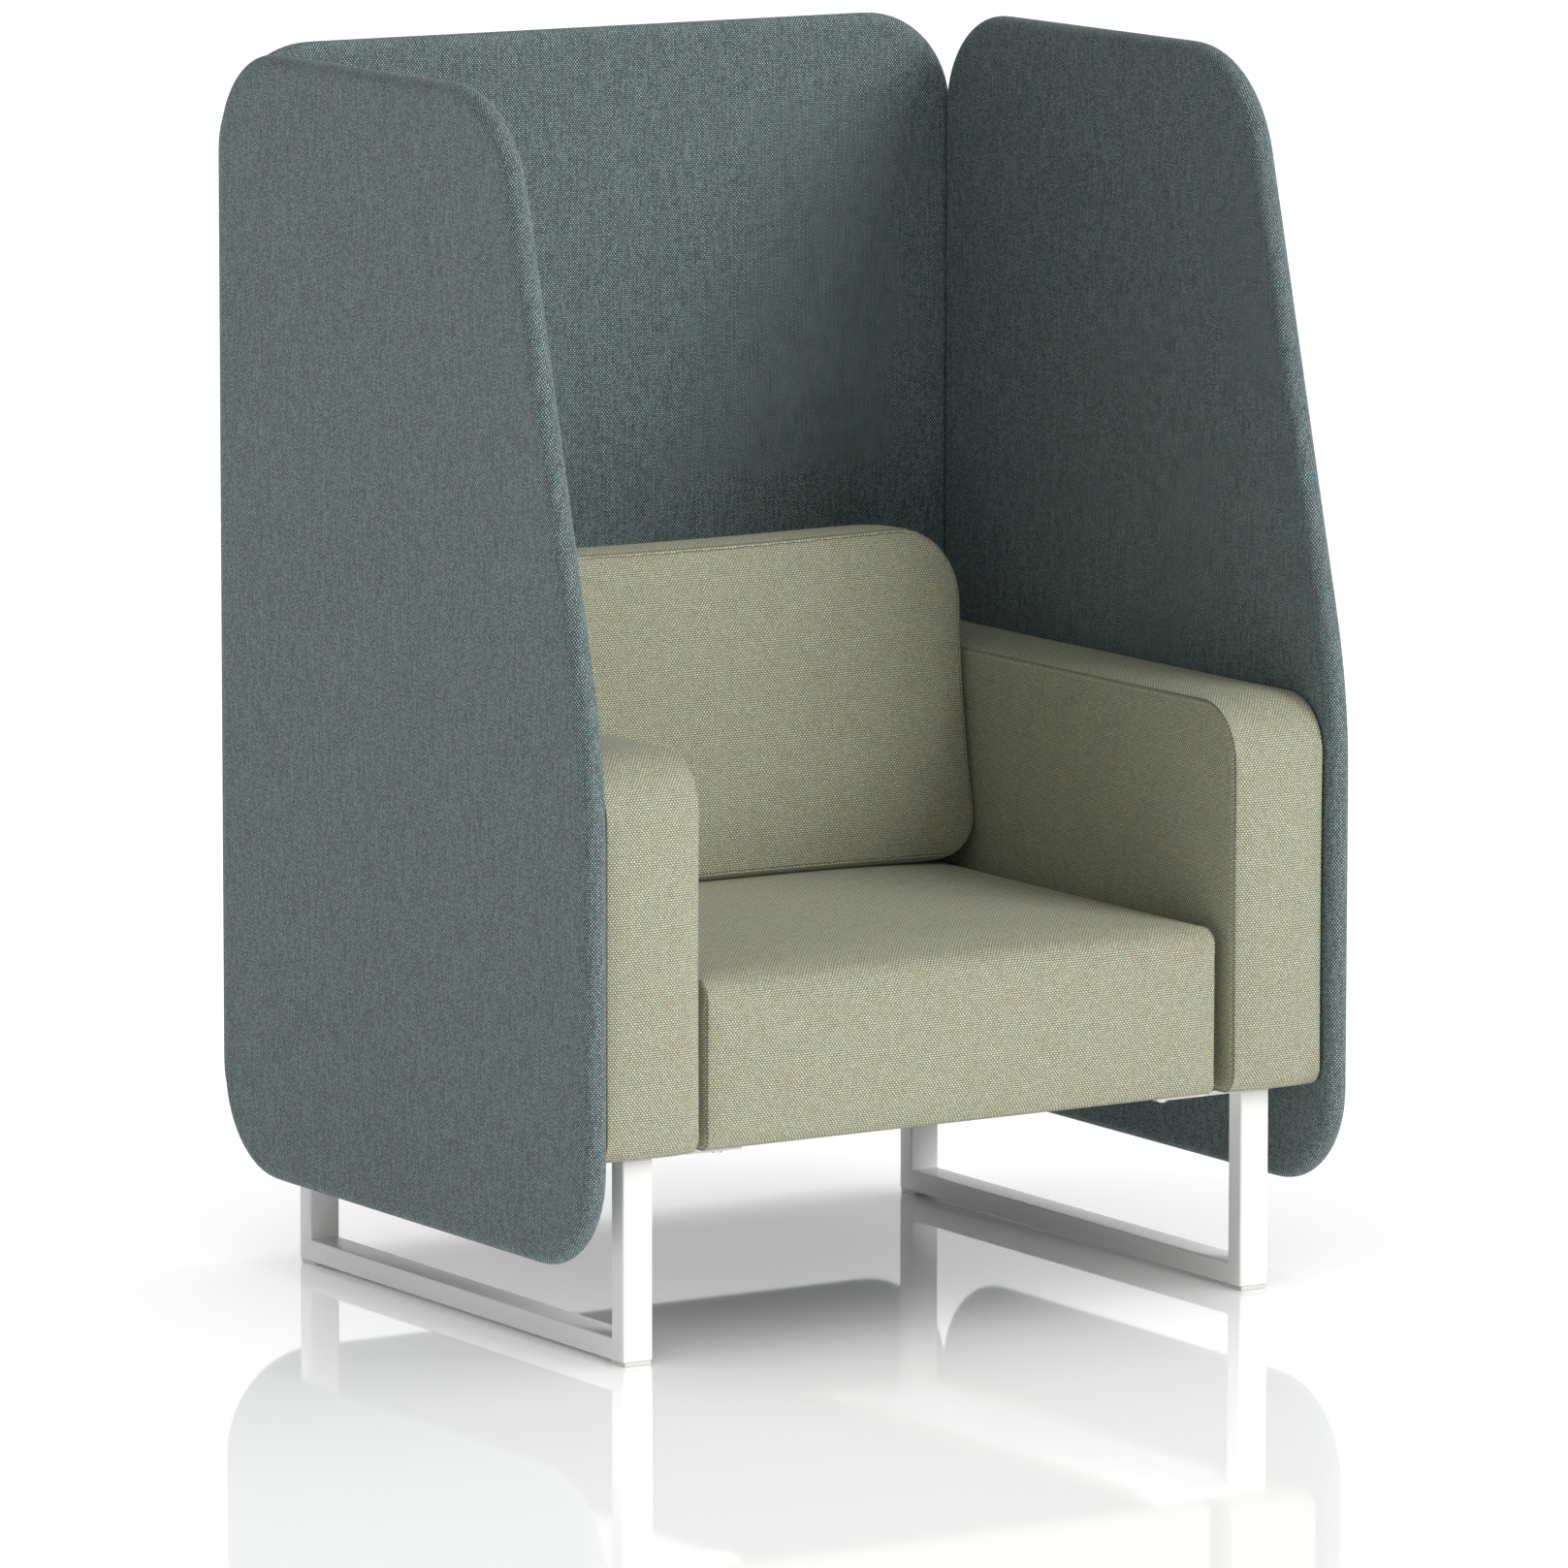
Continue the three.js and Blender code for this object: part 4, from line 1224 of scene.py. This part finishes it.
def wood(name, along, pale, dark, ply_axis=None):
    """A wood with its grain along an axis (0 to 2). ply_axis adds the layers of a plywood."""
    material, tree, shader = new_material(name)
    stretch = [grain_along if axis == along else grain_across for axis in range(3)]
    values = {"Pale": pale, "Dark": dark, "Stretch": stretch}
    grain = add_node(tree, "ShaderNodeGroup", values, node_tree=wood_grain)
    shade = grain.outputs["Color"]
    if ply_axis is not None:
        coordinates = tree.nodes.new("ShaderNodeTexCoord").outputs
        depth = add_node(tree, "ShaderNodeSeparateXYZ", {0: coordinates["Object"]}).outputs[ply_axis]
        facing = add_node(tree, "ShaderNodeSeparateXYZ", {0: coordinates["Normal"]}).outputs[ply_axis]
        layer = sums(tree, "FLOORED_MODULO", sums(tree, "DIVIDE", depth, ply_thickness), 2.0)
        edge = sums(tree, "LESS_THAN", sums(tree, "ABSOLUTE", facing), 0.5)
        shade = blend(tree, sums(tree, "MULTIPLY", edge, sums(tree, "GREATER_THAN", layer, 1.0)), shade, dark)
    finish_with(tree, shader, shade, grain.outputs["Height"], wood_relief, wood_roughness)
    return material


plywoods = [wood("plywood_" + AXES[axis], veneer_axes[axis], ply_pale, ply_dark, axis) for axis in range(3)]
pines = [wood("pine_" + AXES[axis], axis, pine_pale, pine_dark) for axis in range(3)]
print("woods:", [made.name for made in plywoods + pines])

# %% Make the zinc and finish the inner nodes
zinc_cloud_scale = 140.0
zinc_blue, zinc_warm = color(0.56, 0.58, 0.6), color(0.7, 0.69, 0.66)
zinc_roughness = (0.28, 0.45)


def zinc():
    material, tree, shader = new_material("zinc_plate")
    cloud = noise(tree, object_place(tree), zinc_cloud_scale, CLOUDY)[0]
    tree.links.new(blend(tree, cloud, zinc_blue, zinc_warm), shader["Base Color"])
    tree.links.new(remap(tree, cloud, 0.0, 1.0, *zinc_roughness), shader["Roughness"])
    shader["Metallic"].default_value = 1.0
    return material


def inner_finish(name, sides):
    """The finish of a hidden node, by its name and its proportions."""
    if "bolt" in name:
        return zinc_plate
    if name.endswith(("_board", "_core")):
        return plywoods[sides.index(min(sides))]
    if name.endswith("_rail") and not name.endswith("floor_rail"):
        return pines[sides.index(max(sides))]
    return None


def finish_inner_nodes():
    dressed = 0
    for name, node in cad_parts.items():
        low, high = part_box(name)
        finish = inner_finish(name, list(high - low))
        if finish:
            for slot in node.material_slots:
                slot.material = finish
            dressed += 1
    print("inner nodes:", dressed)


zinc_plate = zinc()
finish_inner_nodes()

# %% [markdown]
# ## What repeats along a path
#
# Staples and stitches are one small shape set again and again along a line. A geometry node tree
# does that: it turns the line into points at an even spacing, puts the shape on each, turned along
# the line with a small random turn, and makes it all one mesh.

# %% Build the tree that repeats a shape along a path
repeat_seed = 7


def build_repeat():
    inputs = {"Geometry": "Geometry", "Spacing": "Float", "Turn": "Float", "Shape": "Object",
              "Material": "Material"}
    tree, given, put = new_group("repeat_along", inputs, {"Geometry": "Geometry"}, "GeometryNodeTree")
    curve = add_node(tree, "GeometryNodeMeshToCurve", {0: given["Geometry"]}).outputs[0]
    dots = add_node(tree, "GeometryNodeCurveToPoints", {"Curve": curve, "Length": given["Spacing"]},
                    mode="LENGTH").outputs
    along = add_node(tree, "FunctionNodeAlignRotationToVector", {"Vector": dots["Tangent"]}, axis="X")
    least = sums(tree, "MULTIPLY", given["Turn"], -1.0)
    chance = add_node(tree, "FunctionNodeRandomValue", {2: least, 3: given["Turn"], "Seed": repeat_seed})
    spin = add_node(tree, "ShaderNodeCombineXYZ", {2: chance.outputs[1]}).outputs[0]
    turned = add_node(tree, "FunctionNodeRotateRotation", {0: along.outputs[0], 1: spin},
                      rotation_space="LOCAL").outputs[0]
    shape = add_node(tree, "GeometryNodeObjectInfo", {"Object": given["Shape"]}).outputs["Geometry"]
    placed = add_node(tree, "GeometryNodeInstanceOnPoints",
                      {"Points": dots["Points"], "Instance": shape, "Rotation": turned}).outputs[0]
    solid = add_node(tree, "GeometryNodeRealizeInstances", {0: placed}).outputs[0]
    dressed = add_node(tree, "GeometryNodeSetMaterial", {"Geometry": solid, "Material": given["Material"]})
    tree.links.new(dressed.outputs[0], put[0])
    return tree


def repeated(name, points, edges, shape, spacing, turn, material):
    """A piece made of a shape that is repeated along the edges of a path."""
    mesh = bpy.data.meshes.new(name + "_path")
    mesh.from_pydata([list(point) for point in points], [list(edge) for edge in edges], [])
    path = new_object(name + "_path", mesh)
    layout = path.modifiers.new("repeat", "NODES")
    layout.node_group = repeat_along
    values = {"Spacing": spacing, "Turn": turn, "Shape": shape, "Material": material}
    for label, value in values.items():
        layout[repeat_along.interface.items_tree[label].identifier] = value
    made = bpy.data.meshes.new_from_object(evaluated(path))
    bpy.data.objects.remove(path)
    bpy.data.objects.remove(shape)
    piece = new_object(name, made)
    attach(piece, "root")
    print(name, len(made.polygons), "faces")
    return piece


repeat_along = build_repeat()

# %% [markdown]
# ## Dust cover
#
# Under the seat a thin black cloth hides the frame. It is cut to the space between the two plates,
# pulled tight and stapled to the timber, puckers a little at the staples and sags between the
# rails. It is a sheet, so it is drawn as one, at the size it was cut to.

# %% Make the dust cloth and a staple
fibre_scale = 700.0
fibre_detail = 4.0
dot_scale = 600.0
felt_relief = 0.2 * mm
felt_dark, felt_light = color(0.012, 0.012, 0.013), color(0.06, 0.06, 0.062)
felt_roughness = 0.9
staple_spacing = 45 * mm
staple_inset = 7 * mm
staple_width = 10 * mm
staple_leg = 1.5 * mm
staple_wire = 0.5 * mm
staple_turn = math.radians(4)


def dust_cloth():
    material, tree, shader = new_material("black_dust_cloth")
    place = object_place(tree)
    fibres = noise(tree, place, fibre_scale, fibre_detail)[0]
    dots = add_node(tree, "ShaderNodeTexVoronoi", {"Vector": place, "Scale": dot_scale}).outputs["Distance"]
    felt = sums(tree, "MULTIPLY", fibres, dots)
    finish_with(tree, shader, blend(tree, felt, felt_dark, felt_light), felt, felt_relief, felt_roughness)
    return material


def staple():
    """A staple's crown and the start of its legs, as a square wire bent at two corners."""
    half = staple_width / 2
    wire = staple_wire
    square = ((0, -wire), (0, wire), (wire, wire), (wire, -wire))
    legs = [[(x + a, b, staple_leg) for a, b in square] for x in (-half, half)]
    bends = [[(x, b, -a) for a, b in square] for x in (wire - half, half - wire)]
    return closed_tube("staple", [*legs[0], *bends[0], *bends[1], *legs[1]], len(square))


# %% Build the dust cover
dust_thickness = 0.4 * mm
dust_sag = 3 * mm
dust_grid = 15 * mm
rim_sharpness = 12
pucker_depth = 0.5 * mm


def dust_drop(across, along, low, high):
    """How far the cloth hangs down: it sags in the middle and puckers near its rim."""

    def full(sharpness):
        return full_between(across, low.x, high.x, sharpness) * full_between(along, low.y, high.y, sharpness)

    rim = 1 - full(rim_sharpness)
    waves = np.cos((across + along) / staple_spacing * 2 * math.pi)
    return dust_sag * full(sag_sharpness) + np.abs(waves * (rim > 0) * (1 - rim) * pucker_depth)


def set_staples(low, high):
    left, right = low.x + staple_inset, high.x - staple_inset
    front, rear = low.y + staple_inset, high.y - staple_inset
    height = high.z - 2 * dust_thickness - staple_wire / 2
    corners = [(x, y, height) for x, y in ((left, front), (right, front), (right, rear), (left, rear))]
    return repeated("dust_cover_staples", corners, [(0, 1), (1, 2), (2, 3), (3, 0)], staple(),
                    staple_spacing, staple_turn, zinc_plate)


def build_dust_cover():
    low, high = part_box("seat_dust_cover")
    columns, rows = (round((high[axis] - low[axis]) / dust_grid) for axis in (0, 1))
    across, along = np.meshgrid(np.linspace(low.x, high.x, columns + 1),
                                np.linspace(low.y, high.y, rows + 1))
    height = high.z - dust_thickness - dust_drop(across, along, low, high)
    places = np.stack([across, along, height], 2).reshape(-1, 3)
    line = columns + 1
    faces = [(r * line + c, (r + 1) * line + c, (r + 1) * line + c + 1, r * line + c + 1)
             for r in range(rows) for c in range(columns)]
    piece = new_piece("dust_cover", places, faces)
    piece.modifiers.new("cloth", "SOLIDIFY").thickness = dust_thickness
    dress(piece, dust_cloth(), "dust_cloth", "seat_dust_cover")
    set_staples(low, high)


build_dust_cover()

# %% [markdown]
# ## Seam stitches
#
# The thread that closes a seam lies deep in the groove and shows only as small dashes. The deepest
# points of every groove are marked on the pieces, so the edges between them give the path.

# %% Make the thread and a stitch
ply_scale = 900.0
ply_distortion = 2.0
thread_relief = 0.1 * mm
thread_dark, thread_light = color(0.16, 0.165, 0.1), color(0.34, 0.35, 0.24)
thread_roughness = 0.6
thread_radius = 0.35 * mm
thread_sides = 5
stitch_spacing = 5 * mm
stitch_length = 3.6 * mm
# How far along the stitch, and how thick the thread is there.
stitch_shares = ((-0.5, 0.3), (-0.3, 1), (0.3, 1), (0.5, 0.3))


def sewing_thread():
    material, tree, shader = new_material("olive_thread")
    inputs = {"Vector": object_place(tree), "Scale": ply_scale, "Distortion": ply_distortion}
    plies = add_node(tree, "ShaderNodeTexWave", inputs, bands_direction="DIAGONAL").outputs["Fac"]
    shade = blend(tree, plies, thread_dark, thread_light)
    finish_with(tree, shader, shade, plies, thread_relief, thread_roughness)
    return material


def stitch():
    """One stitch: a short thread that thins where it dives into the cloth."""
    turns = [2 * math.pi * i / thread_sides for i in range(thread_sides)]
    places = [(share * stitch_length, thick_share * thread_radius * math.cos(turn),
               thick_share * thread_radius * math.sin(turn))
              for share, thick_share in stitch_shares for turn in turns]
    return closed_tube("stitch", places, thread_sides)


# %% Sew the seams
deepest_share = 0.9


def sew(piece, thread):
    mesh = piece.data
    deep = seams_of(piece) > deepest_share
    edges = [edge.vertices[:] for edge in mesh.edges if deep[edge.vertices[0]] and deep[edge.vertices[1]]]
    used = sorted({number for edge in edges for number in edge})
    new_number = {number: place for place, number in enumerate(used)}
    points = [mesh.vertices[number].co[:] for number in used]
    edges = [(new_number[a], new_number[b]) for a, b in edges]
    repeated(piece.name + "_stitches", points, edges, stitch(), stitch_spacing, 0.0, thread)


thread = sewing_thread()
for piece in (right_arm, left_arm, seat, cushion):
    sew(piece, thread)
